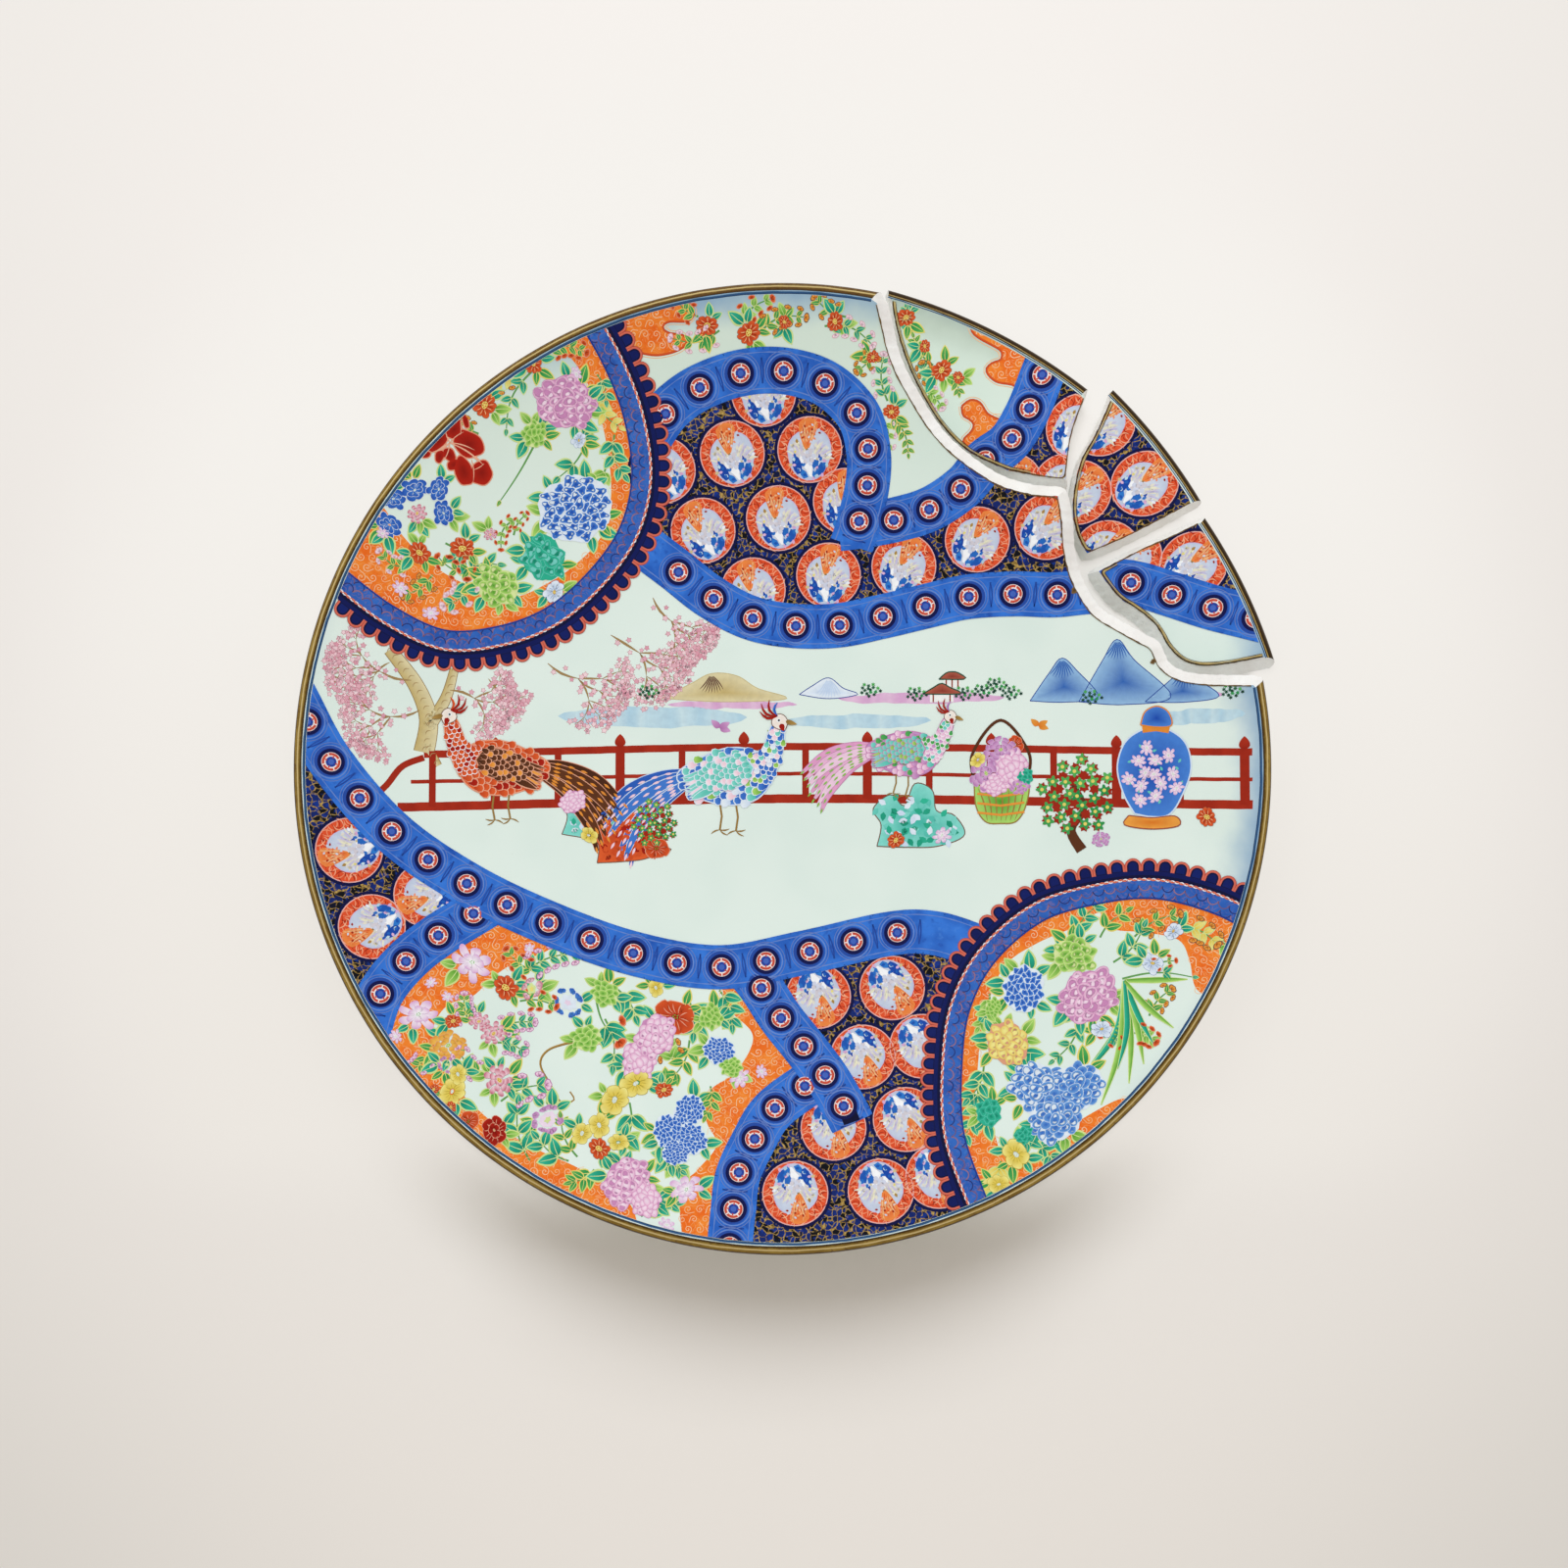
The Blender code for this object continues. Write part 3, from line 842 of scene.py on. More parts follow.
def lifted(points, lift):
    """Points of the plan raised to the face, and then by lift square to it."""
    radius = np.hypot(*points.T)
    slope = face_slope(radius)
    inward = -np.sin(slope) * lift / np.maximum(radius, 1e-6)
    return np.column_stack([points * (1 + inward)[:, None], face_height(radius) + lift * np.cos(slope)])


def enamel_finish(name, roughness, **fixed):
    """Reads the shape's own colour and lets it pool a little darker and lighter."""
    finish = Finish(name, roughness=roughness, **fixed)
    own, plan = finish.paint(), finish.plan()
    pooled = finish.noise(plan, 0.35, 3.0).step(0.25, 0.75)
    shade = finish.mix(pooled * 0.22, own, (0.55, 0.55, 0.62, 1), "MULTIPLY")
    finish.feed(Base_Color=shade)
    return finish.bump(finish.noise(plan, 0.8, 2.0), 0.15, 0.0002).material


ENAMEL = enamel_finish("overglaze_enamel", 0.28, specular_ior_level=0.15)
UNDERGLAZE = enamel_finish("underglaze_blue", 0.2, specular_ior_level=0.15)


def palette_map(tones, shades):
    """Where each point's colour sits on a chart: a column for its tone, and its shade as the height."""
    across = (tones + 0.2 + 0.6 * spread(len(tones))) / len(TONES)
    return np.column_stack([across, 0.03 + 0.94 * shades])


def mixed(tones, shades):
    """Each point's colour, at its shade between the two of its tone's pair."""
    return FIRST[tones] * (1 - shades[:, None]) + SECOND[tones] * shades[:, None]


def film(name, piece, points, faces, plan, material, colours=None, chart=None):
    """One film on one piece: its mesh, its points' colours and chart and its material."""
    made = new_object(f"{name}_on_{piece}", laid(piece, points), faces.tolist(), plan)
    if colours is not None:
        paint = made.data.attributes.new("paint", "FLOAT_COLOR", "POINT")
        opaque = np.column_stack([colours, np.ones(len(plan))])
        paint.data.foreach_set("color", opaque.astype(np.float32).ravel())
    if chart is not None:
        add_map(made.data, "OFBake", chart)
    made.data.shade_smooth()
    made.data.materials.append(material)
    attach(made, "root")


def lay(layer, name, material, pieces=PIECES):
    """Lays a layer on every piece that it reaches, as one object for each."""
    points, faces = np.vstack(layer.points), np.vstack(layer.faces)
    tones, lifts = np.concatenate(layer.tones), np.concatenate(layer.lifts)
    shades = np.clip(np.concatenate(layer.shades) * 0.94 + 0.06 * spread(len(points), 1), 0, 1)
    faces = face_up(points, faces)
    total = 0
    for piece in pieces:
        cut, part = cut_to(piece, points, faces)
        if not len(part):
            continue
        used, part = np.unique(part, return_inverse=True)
        plan, own, shade = cut[used], tones[used], shades[used]
        film(name, piece, lifted(plan, lifts[used]), part.reshape(-1, 3), plan, material,
             mixed(own, shade), palette_map(own, shade))
        total += part.size // 3
    print(name, "laid with", total, "triangles")


# %% [markdown]
# ## Simple shapes
# Nearly all the painting is made from a few strokes: a disc, a ring, a ribbon along a line and a
# petal. Each is a small grid, worked out once as whole arrays.

# %% Disc, ring, ribbon and petal
def grid_faces(rows, columns):
    """Quads of a plain grid."""
    row, column = np.meshgrid(np.arange(rows - 1), np.arange(columns - 1), indexing="ij")
    corner = (row * columns + column).ravel()
    return np.column_stack([corner, corner + 1, corner + columns + 1, corner + columns])


def polar(reach, rings=2, steps=24, hollow=0.0):
    """Disc or ring: radius share times reach(angle) along each ray. Shade 0 in the middle, 1 outside."""
    angle = np.linspace(0, math.tau, steps + 1)
    share = np.linspace(hollow, 1, rings + 1)[:, None]
    radius = share * (reach(angle) if callable(reach) else reach)
    points = np.stack(np.broadcast_arrays(radius * np.cos(angle), radius * np.sin(angle)), -1)
    shades = np.broadcast_to((share - hollow) / (1 - hollow), points.shape[:2])
    faces = grid_faces(rings + 1, steps + 1)
    return points.reshape(-1, 2), faces, shades.ravel()


def rosette(radius, depth, lobes, rings=1, steps=15):
    """A lobed disc: the radius times 1 - depth + depth times the cosine of lobes times the angle."""
    return polar(lambda angle: radius * (1 - depth + depth * np.cos(lobes * angle)), rings, steps)


def moved(shape, centre=(0, 0), size=1.0, turn=0.0):
    """A shape sized, turned and then moved to a centre."""
    points, faces, shades = shape
    c, s = math.cos(turn), math.sin(turn)
    return points * size @ np.array([[c, s], [-s, c]]) + centre, faces, shades


def ribbon(line, half, columns=2):
    """A band along a line, half a width to each side. Shade runs from one side to the other."""
    line = np.asarray(line, float)
    half = np.broadcast_to(half, len(line))[:, None, None]
    across = np.linspace(-1, 1, columns)[None, :, None]
    points = line[:, None] + right_of(line)[:, None] * across * half
    shades = np.broadcast_to(across[..., 0] * 0.5 + 0.5, points.shape[:2])
    return points.reshape(-1, 2), grid_faces(len(line), columns), shades.ravel()


ACROSS = np.linspace(-1.0, 1.0, 5)[None]


def petal(length=1.0, width=0.4, blunt=0.5, rows=7):
    """Leaf form along +X: half width is the width times sin(pi u ** blunt). Shade 1 at its tip."""
    u = np.linspace(0, 1, rows)[:, None]
    half = width * np.sin(math.pi * u ** blunt) ** 0.8
    points = np.stack(np.broadcast_arrays(u * length, ACROSS * half), -1)
    return points.reshape(-1, 2), grid_faces(rows, 5), np.broadcast_to(u, points.shape[:2]).ravel()


def lobe(length, half, rows=6):
    """Petal along +X: its width follows u ** 0.6 times the root of 1 - u ** 4. Shade 1 at its end."""
    u = np.sin(np.linspace(0.12, math.pi / 2, rows))[:, None]
    width = half * 1.42 * u ** 0.6 * np.sqrt(1 - 0.995 * u ** 4)
    points = np.stack(np.broadcast_arrays(u * length, ACROSS * width), -1)
    return points.reshape(-1, 2), grid_faces(rows, 5), np.broadcast_to(u, points.shape[:2]).ravel()


def offset(line, distance):
    """The line moved square to itself, to its right."""
    return line + right_of(line) * distance


def swelling(count, start=0.15, middle=1.0, stop=0.1):
    """Widths of a brush stroke: thin where the brush touches, full in the middle, thin at the end."""
    t = np.linspace(0, 1, count)
    return np.where(t < 0.5, start + (middle - start) * np.sin(math.pi * t),
                    stop + (middle - stop) * np.sin(math.pi * t))


def stroke(start, stop, bend, half, count=5):
    """A brush stroke from start to stop that bows to one side, thin at both ends."""
    t = np.linspace(0, 1, count)[:, None]
    start, stop = np.array(start, float), np.array(stop, float)
    way = stop - start
    side = np.array([-way[1], way[0]])
    line = start + way * t + side * bend * np.sin(math.pi * t)
    return ribbon(line, half * swelling(count, 0.25, 1.0, 0.2))


def ray(angle, radius, centre=(0.0, 0.0)):
    return centre[0] + radius * math.cos(angle), centre[1] + radius * math.sin(angle)


def patch(points, rings=5, step=1.5):
    """A filled shape: rings from the middle of a smooth closed line out to the line. Shade 1 outside."""
    line = smooth(list(points) + [points[0]], step)
    middle = line[:-1].mean(0)
    share = np.linspace(0, 1, rings + 1)[:, None, None]
    grid = middle + share * (line - middle)
    shades = np.broadcast_to(share[..., 0], grid.shape[:2])
    return grid.reshape(-1, 2), grid_faces(rings + 1, len(line)), shades.ravel()


def outlined(layer, points, tone, lift, line="outline", half=0.22, rings=5):
    """A patch with a fine line round it."""
    layer.add(patch(points, rings), tone, lift)
    layer.add(ribbon(smooth(list(points) + [points[0]], 1.5), half), line, lift + 1.0, 0.4)


def dotted(layer, points, tones, count, size, lift, kind="petal"):
    """Small marks strewn evenly inside an outline, taking the tones in turn."""
    outline = smooth(list(points) + [points[0]], 2.0)
    low, high = outline.min(0), outline.max(0)
    rows = (np.arange(count * 2) + 0.5) / count / 2
    places = low + (high - low) * np.column_stack([spread(count * 2), rows])
    places = places[inside(outline, places)]
    gap = np.hypot(*(places - nearest_on(outline, places)).T)
    for number, place in enumerate(places[gap > size * 0.7][:count]):
        turn = number * 2.4
        mark = rosette(size, 0.28, 5) if kind == "petal" else petal(size * 2.2, size * 0.7, 0.8, 4)
        layer.add(moved(mark, place, 1.0, turn), tones[number % len(tones)], lift + 0.4 * (number % 4),
                  0.2 + 0.7 * jump(number))


def feathered(layer, points, size, tones, heading, lift, line="outline"):
    """Rows of round feathers inside an outline. Each row lies over the one towards the tail."""
    outline = smooth(list(points) + [points[0]], 2.0)
    ahead = np.array([math.cos(heading), math.sin(heading)])
    aside = np.array([-ahead[1], ahead[0]])
    reach = int(40 / size)
    for row in range(reach, -reach - 1, -1):
        for column in range(-reach, reach + 1):
            sideways = aside * (column + 0.5 * (row % 2)) * size * 1.12
            place = outline.mean(0) + ahead * row * size * 0.85 + sideways
            if not inside(outline, (place + ahead * size * 0.45)[None])[0]:
                continue
            turn = heading + 0.2 * math.sin(row * 1.7 + column)
            tone = tones[(3 * row + 5 * column + (row * column) % 3) % len(tones)]
            coats = lift + 0.55 * (reach - row) * 0.5 + 0.12 * (column % 2)
            layer.add(moved(lobe(size * 1.5, size * 0.6, 4), place, 1.0, turn), line, coats, 0.8)
            layer.add(moved(lobe(size * 1.36, size * 0.5, 4), place, 1.0, turn), tone, coats + 0.06)


print(len(TONES), "enamels in the palette")

# %% [markdown]
# ## The layout of the painting
# The whole pattern hangs on a few lines: the bands of blue that carry the bosses, and the edges of
# the two round panels. Each line is given by the few points that its shape needs, in the plan of the
# unbroken dish, and everything that repeats is spaced along it by a loop.

# %% Centre lines of the bands and edges of the panels
BAND_HALF = 10.6
BANDS = {
    "main": [(-240, 52), (-229, 31), (-213, 2), (-185, -30), (-150, -54), (-112, -72), (-71, -86.5),
             (-30, -93), (10, -86), (51, -77), (73, -77), (94, -84)],
    "loop": [(-62, 161), (-54, 172), (-40, 182), (-20, 189), (1, 190), (21, 184), (36, 170), (41, 153),
             (40.5, 137), (36, 118), (33, 109)],
    "rise": [(27, 117), (36, 118), (54, 121), (71, 126), (86.5, 136), (96, 147), (107, 155.5), (115, 169.5),
             (121, 186.5), (127, 204), (132, 222)],
    "lower": [(-74, 114), (-52, 98), (-35, 85), (-16, 75), (4, 71), (26, 71), (47, 75), (69, 80),
              (88, 84), (110, 85), (130, 84), (148, 85), (165, 83), (183, 75), (201, 66), (219, 58),
              (240, 48)],
    "left_branch": [(-136, -62), (-162, -79), (-177, -92), (-188, -107), (-193, -123), (-196, -140)],
    "tongue": [(-20, -90), (-10, -103), (-1, -117), (10, -131), (21, -146), (29, -160), (33, -168)],
    "right_branch": [(18, -145), (-4, -161), (-14, -177), (-21, -193), (-23, -209), (-25, -230)],
}
BEADS = {"main": [(14.7, 21.3, 17)], "loop": [(11, 20.6, 6), (131.5, 17.2, 3)],
         "rise": [(26.5, 17.6, 3), (78.1, 15.9, 4)], "lower": [(30, 21.0, 10), (253.8, 19.8, 5)],
         "left_branch": [(12.2, 19.5, 4)], "tongue": [(16.4, 17.2, 5)], "right_branch": [(9, 17.6, 6)]}
PANEL_EDGES = {
    "upper_panel": [(-86, 230), (-68, 201), (-56.5, 172), (-52.5, 140), (-59.5, 110), (-77, 84), (-102, 62),
                    (-131, 50), (-163, 47), (-194, 59.5), (-224, 81)],
    "lower_panel": [(234, -66), (210, -52), (180, -43), (150, -44), (115, -54), (86, -78), (70, -108),
                    (65, -142), (66, -176), (76, -208), (84, -226)],
}
LINES = {name: smooth(points) for name, points in BANDS.items()}
PANELS = {name: smooth(points) for name, points in PANEL_EDGES.items()}


def rim_arc(start, stop, radius=RIM):
    """Points on a circle round the dish's axis between two angles in degrees."""
    turn = np.radians(np.linspace(start, stop, max(2, round(abs(stop - start) / 0.6))))
    return radius * np.column_stack([np.cos(turn), np.sin(turn)])


def between(line, first, last):
    """The part of a line between its points nearest to two places."""
    start, stop = (int(np.hypot(*(line - place).T).argmin()) for place in (first, last))
    return line[start:stop + 1]


def within(line, radius=RIM):
    """The part of a line inside a radius."""
    return line[np.hypot(*line.T) < radius]


print({name: round(len(line)) for name, line in LINES.items()}, "mm long")

# %% [markdown]
# ## Grounds
# The grounds are the large fields behind the flowers: the dark brocade, the orange brocade and the
# blue of the bands. An area with a free outline has no tidy grid, so it is filled with triangles
# between its outline, the edge of the broken piece and a lattice of points inside, close enough
# together to follow the curve of the face.

# %% Filling an outline
LATTICE = 3.4


def lattice_in(outline, spacing=LATTICE):
    """Points of a triangular lattice inside an outline."""
    low, high = outline.min(0), outline.max(0)
    rows = np.arange(low[1], high[1], spacing * math.sqrt(0.75))
    columns = np.arange(low[0], high[0], spacing)
    x, y = np.meshgrid(columns, rows)
    x = x + (np.arange(len(rows)) % 2)[:, None] * spacing / 2
    points = np.column_stack([x.ravel(), y.ravel()])
    return points[inside(outline, points)]


def filled(outline, limit):
    """Triangles over the part of an outline that lies inside a limit, which is an outline too."""
    free = lattice_in(outline)
    free = free[inside(limit, free)] if len(free) else free
    parts, edges, count = [], [], 0
    for ring in (outline, limit):
        parts.append(ring)
        each = np.arange(len(ring))
        edges.append(np.column_stack([each, (each + 1) % len(ring)]) + count)
        count += len(ring)
    points = np.vstack(parts + [free])
    made = delaunay_2d_cdt([tuple(p) for p in points], np.vstack(edges).tolist(), [], 0, 1e-4)
    plan, faces = np.array(made[0]), np.array(made[2])
    middle = plan[faces].mean(1)
    faces = faces[inside(outline, middle) & inside(limit, middle)]
    used, faces = np.unique(faces, return_inverse=True)
    return plan[used], faces.reshape(-1, 3)


def lay_ground(outlines, name, material, lift):
    """One object on each piece for all the outlines of one ground."""
    total = 0
    for piece in PIECES:
        points, faces, count = [], [], 0
        for outline in outlines:
            if not inside(OUTLINES[piece], outline).any() and not inside(outline, OUTLINES[piece]).any():
                continue
            plan, part = filled(outline, OUTLINES[piece])
            points.append(plan)
            faces.append(part + count)
            count += len(plan)
        if not count or not sum(len(part) for part in faces):
            continue
        plan, part = np.vstack(points), np.vstack(faces)
        low, high = plan.min(0), plan.max(0)
        film(name, piece, lifted(plan, lift * COAT), face_up(plan, part), plan, material,
             chart=(plan - low) / (high - low).max() * 0.98 + 0.01)
        total += len(part)
    print(name, "laid with", total, "triangles")


# %% Finishes of the grounds
def navy_brocade():
    """Cells of navy and black in a curling network of gold, three millimetres to a cell."""
    finish = Finish("navy_and_gold_brocade", roughness=0.25, specular_ior_level=0.15)
    plan = finish.plan()
    warped = finish.warped(plan, 0.32, 2.6)
    edge = finish.cells(warped, 0.36, 0.85, 0, feature="DISTANCE_TO_EDGE")
    cell = finish.cells(warped, 0.36, 0.85, "Color")
    dark = finish.node("ShaderNodeSeparateColor", {}, {"Color": cell}, "Red").step(0.4, 0.6)
    ground = finish.mix(dark, colour("0E2468"), colour("070912"))
    ground = finish.mix(finish.noise(plan, 0.3).step(0.52, 0.62) * 0.6, ground, colour("123A9A"))
    thin = 1.0 - edge.step(0.03, 0.075)
    broken = finish.noise(plan, 0.45, 2.0)
    gold = thin * broken.step(0.36, 0.44)
    tone = finish.mix(finish.noise(plan, 0.8).step(0.35, 0.7), colour("86692E"), colour("C6A45C"))
    shade = finish.mix(gold, ground, tone)
    return finish.feed(Base_Color=shade, Roughness=gold * 0.15 + 0.2).material


def orange_brocade():
    """Orange with pale scrolls: bent lines at one distance from scattered points."""
    finish = Finish("orange_brocade", roughness=0.28, specular_ior_level=0.15)
    plan = finish.plan()
    near = finish.cells(finish.warped(plan, 0.18, 7), 0.2, 1.0, "Distance")
    wave = (near * 3.4).math("FRACT")
    line = 1.0 - (wave - 0.5).math("ABSOLUTE").step(0.03, 0.11)
    line = line * finish.noise(plan, 0.22, 1.0).step(0.36, 0.44)
    ground = finish.mix(finish.noise(plan, 0.12).step(0.3, 0.7), colour("EE6A1C"), colour("F68A30"))
    ground = finish.mix(finish.noise(plan, 0.5).step(0.55, 0.75) * 0.4, ground, colour("D8501A"))
    return finish.feed(Base_Color=finish.mix(line * 0.35, ground, colour("FBC48C"))).material


def cobalt_wash(name="cobalt_wash", scroll=0.0):
    """Brushed cobalt: cloudy from the loaded brush, with faint reddish scrolls where asked."""
    finish = Finish(name, roughness=0.2, specular_ior_level=0.15)
    plan = finish.plan()
    shade = finish.mix(finish.noise(plan, 0.09, 3.0).step(0.3, 0.7), colour("265EBC"), colour("387ADA"))
    shade = finish.mix(finish.noise(plan, 0.3, 3.0).step(0.55, 0.8) * 0.5, shade, colour("5490E0"))
    shade = finish.mix(finish.noise(plan, 0.22, 2.0).step(0.58, 0.72) * 0.5, shade, colour("163C98"))
    if scroll:
        shade = finish.mix(0.34, shade, colour("2C4484"))
        near = finish.cells(finish.warped(plan, 0.25, 6), 0.24, 1.0, "Distance")
        wave = (near * 3.2).math("FRACT")
        line = (1.0 - (wave - 0.5).math("ABSOLUTE").step(0.08, 0.2)) * finish.noise(plan, 0.2).step(0.4, 0.55)
        shade = finish.mix(line * scroll, shade, colour("7A6A9C"))
    return finish.feed(Base_Color=shade).material


NAVY_BROCADE, ORANGE_BROCADE = navy_brocade(), orange_brocade()
COBALT, COBALT_SCROLLS = cobalt_wash(), cobalt_wash("cobalt_with_scrolls", 0.55)

# %% Outlines of the grounds
ORANGE_DEPTH = 19.4               # from a panel's edge to its orange ground


def closed(*parts):
    """One outline from several lines laid end to end."""
    return even(np.vstack(parts + (parts[0][:1],)), 1.6)[:-1]


def part_of(name, start, stop):
    """Part of a band's centre line, as shares of its length from 0 to 1."""
    line = LINES[name]
    return line[round(start * (len(line) - 1)): round(stop * (len(line) - 1)) + 1]


def band_outline(line, half=BAND_HALF):
    """The two edges of a band, one there and the other back."""
    return closed(offset(line, half), offset(line, -half)[::-1])


PANEL_SIDES = {"upper_panel": 1, "lower_panel": -1}


def ring_outline(panel, outer, inner):
    """The band between two distances inside a panel's edge."""
    edge, side = PANELS[panel], PANEL_SIDES[panel]
    return closed(offset(edge, outer * side), offset(edge, inner * side)[::-1])


upper_ground = closed(LINES["lower"], rim_arc(12, 59, 238), LINES["rise"][::-1], LINES["loop"][::-1],
                      between(offset(PANELS["upper_panel"], 6), (-58, 163), (-72, 97))[::-1])
left_ground = closed(part_of("main", 0, 0.37), LINES["left_branch"], rim_arc(214, 168, 238))
low_ground = closed(LINES["right_branch"][::-1], np.array([(18, -145), (-10, -103), (-20, -92)]),
                    part_of("main", 0.64, 1.0),
                    between(offset(PANELS["lower_panel"], -6), (98, -76), (98, -224)),
                    rim_arc(-66, -96, 238))
GROUND_LIFT = 1.5                 # coats of enamel under all the rest
lay_ground([upper_ground, left_ground, low_ground], "navy_brocade", NAVY_BROCADE, GROUND_LIFT)
reserves = {
    "upper_panel": [(-112, 205), (-97, 190), (-88, 172), (-83, 150), (-82, 130), (-87, 112), (-99, 99),
                    (-112, 90), (-129, 83), (-150, 88), (-168, 98), (-182, 112), (-191, 124), (-212, 130)],
    "lower_panel": [(206, -112), (194, -106), (191, -92), (186, -82), (170, -78), (156, -76), (150, -68),
                    (140, -74), (121, -82), (106, -92), (98, -108), (94, -124), (92, -142), (91, -156),
                    (98, -168), (104, -184), (120, -182), (132, -172), (146, -163), (160, -157), (168, -164)],
}


def panel_ring(panel):
    """Orange between a panel's blue ring and its white middle."""
    edge = within(offset(PANELS[panel], PANEL_SIDES[panel] * ORANGE_DEPTH), 236)
    return closed(edge, smooth(reserves[panel])[::-1])


left_orange = closed(smooth([(-100, -76), (-112, -86), (-127, -92), (-137, -99), (-146, -108), (-158, -113),
                             (-164, -126), (-157, -146), (-138, -166), (-118, -179), (-96, -189),
                             (-82, -198), (-70, -208), (-66, -226)]),
                     rim_arc(254, 214, 238), LINES["left_branch"][::-1],
                     part_of("main", 0.26, 0.46))
right_orange = closed(smooth([(-30, -94), (-26, -112), (-14, -126), (-22, -143), (-34, -152), (-36, -166),
                              (-31, -178), (-40, -190), (-48, -200), (-46, -228)]),
                      rim_arc(258, 264, 238), LINES["right_branch"][::-1],
                      np.array([(0, -120), (-20, -92)]))
clouds = [
    [(-62, 224), (-46, 221), (-42, 216), (-45, 212), (-54, 211.5), (-57, 209), (-54, 206.5), (-47, 205.5),
     (-46, 201.5), (-52, 198), (-62, 196.5), (-72, 200), (-76, 212), (-74, 222)],
    [(85.5, 209), (90, 210.5), (95.7, 208.3), (105, 206), (126, 196), (120, 178), (107, 182), (100.2, 183.3),
     (96.2, 186), (94.4, 189.2), (97, 192), (101, 193.4), (101, 197.2), (96.4, 200), (91, 202.7),
     (87, 205.5)],
    [(83.8, 172.3), (87.7, 175.2), (92.3, 174), (96, 169), (100.2, 166.7), (105, 164), (100, 154), (92, 148),
     (86, 150), (86.4, 154), (85.2, 156.6), (88.5, 160), (90, 163.4), (88.2, 166), (84.7, 168)],
]
cloud_outlines = [closed(smooth(points + points[:1])) for points in clouds]
orange_grounds = [panel_ring(name) for name in PANELS] + [left_orange, right_orange] + cloud_outlines
lay_ground(orange_grounds, "orange_brocade", ORANGE_BROCADE, GROUND_LIFT)


# %% Scrolls on the orange, and lines round the clouds
def curl(turns=1.5, reach=2.1, steps=15):
    """A spiral in the plan: the radius grows evenly with the angle, and its end runs out straight."""
    angle = np.linspace(0.6, turns * math.tau, steps)
    radius = reach * angle / angle[-1]
    line = radius[:, None] * np.column_stack([np.cos(angle), np.sin(angle)])
    tail = line[-1] + np.outer((0.8, 1.6), (line[-1] - line[-2]) / np.hypot(*(line[-1] - line[-2])))
    return np.vstack([line, tail])


CURLS = [ribbon(curl() * (1, side), 0.15) for side in (1, -1)]
scrolls = Layer()
for outline in orange_grounds:
    for number, place in enumerate(lattice_in(outline, 5.4)):
        scrolls.add(moved(CURLS[number % 2], place, 0.86 + 0.26 * jump(number), 2.1 * number),
                    "curl", 2.2, 0.3 + 0.6 * jump(number, 0.37))
lay(scrolls, "orange_scrolls", ENAMEL)
cloud_edges = Layer()
for outline in cloud_outlines:
    ring = np.vstack([outline, outline[:1]])
    cloud_edges.add(ribbon(ring, 0.55, 3), "cloud_edge", 2.6)
    cloud_edges.add(ribbon(offset(ring, -1.3), 0.16), "ground_line", 2.6)
lay(cloud_edges, "cloud_edges", ENAMEL)

# %% The blue of the bands and of the panels' rings
BAND_LIFT = {"left_branch": 11.0, "right_branch": 11.0, "rise": 12.5, "loop": 14.0, "lower": 14.0,
             "tongue": 14.0, "main": 15.5}
RING_LIFT = 17.0
for lift in sorted(set(BAND_LIFT.values())):
    names = [name for name in BAND_LIFT if BAND_LIFT[name] == lift]
    lay_ground([band_outline(LINES[name]) for name in names], names[0] + "_band", COBALT, lift)
lay_ground([ring_outline(name, 10.6, 19.2) for name in PANELS], "panel_rings", COBALT_SCROLLS,
           RING_LIFT)


# %% [markdown]
# ## Bosses, scallops and cords
# The bands carry bosses like turned buttons: a faint double ring, a dark disc, a red ring and a white
# one broken in four. The panels are edged with a row of dark scallops, each outlined in salmon, and a
# twisted cord of pink and white lies inside them. One boss and one scallop are drawn and then placed
# at even steps along their line.

# %% One boss
def draw_boss():
    """Rings and discs from the outside in, each a little higher, and four spokes across the white one."""
    boss = Layer()
    boss.add(polar(9.3, 1, 30, 0.955), "faint_ring", 0.0)
    boss.add(polar(8.1, 1, 30, 0.93), "faint_ring", 0.0, 1.0)
    boss.add(polar(lambda a: 7.4 + 0.5 * np.sin(a - 0.9), 1, 28), "cobalt_line", 0.5)
    boss.add(polar(6.3, 2, 28), "bead_ink", 1.5)
    boss.add(polar(4.55, 1, 26), "bead_white", 2.5, 0.2)
    boss.add(polar(4.25, 1, 26), "bead_red", 3.2, 0.3)
    boss.add(polar(3.7, 1, 26, 0.85), "bead_red", 3.9, 1.0)
    boss.add(polar(3.1, 1, 22), "bead_white", 4.4, 0.8)
    boss.add(polar(2.5, 1, 20), "bead_blue", 5.2, 0.0)
    boss.add(polar(1.4, 1, 12), "bead_blue", 6.0, 0.9)
    for turn in np.arange(4) * math.pi / 2 + 0.3:
        way = np.array([math.cos(turn), math.sin(turn)])
        boss.add(ribbon(np.outer([2.6, 3.4, 4.2], way), 0.28), "bead_white", 5.5, 0.6)
        beside = way @ rotation((0, 0, 1), 0.75)[:2, :2]
        boss.add(ribbon(np.outer([2.0, 2.5, 3.0], beside), 0.3), "bead_red", 5.8, 0.2)
    return boss


BOSS = draw_boss()


def point_at(line, along):
    """Point and heading of a line at a length along it, in mm. Its points are one step apart."""
    length = np.concatenate([[0], np.cumsum(np.hypot(*np.diff(line, axis=0).T))])
    point = np.array([np.interp(along, length, line[:, axis]) for axis in (0, 1)])
    index = min(int(np.searchsorted(length, along)), len(line) - 2)
    way = line[index + 1] - line[max(index - 1, 0)]
    return point, math.atan2(way[1], way[0])


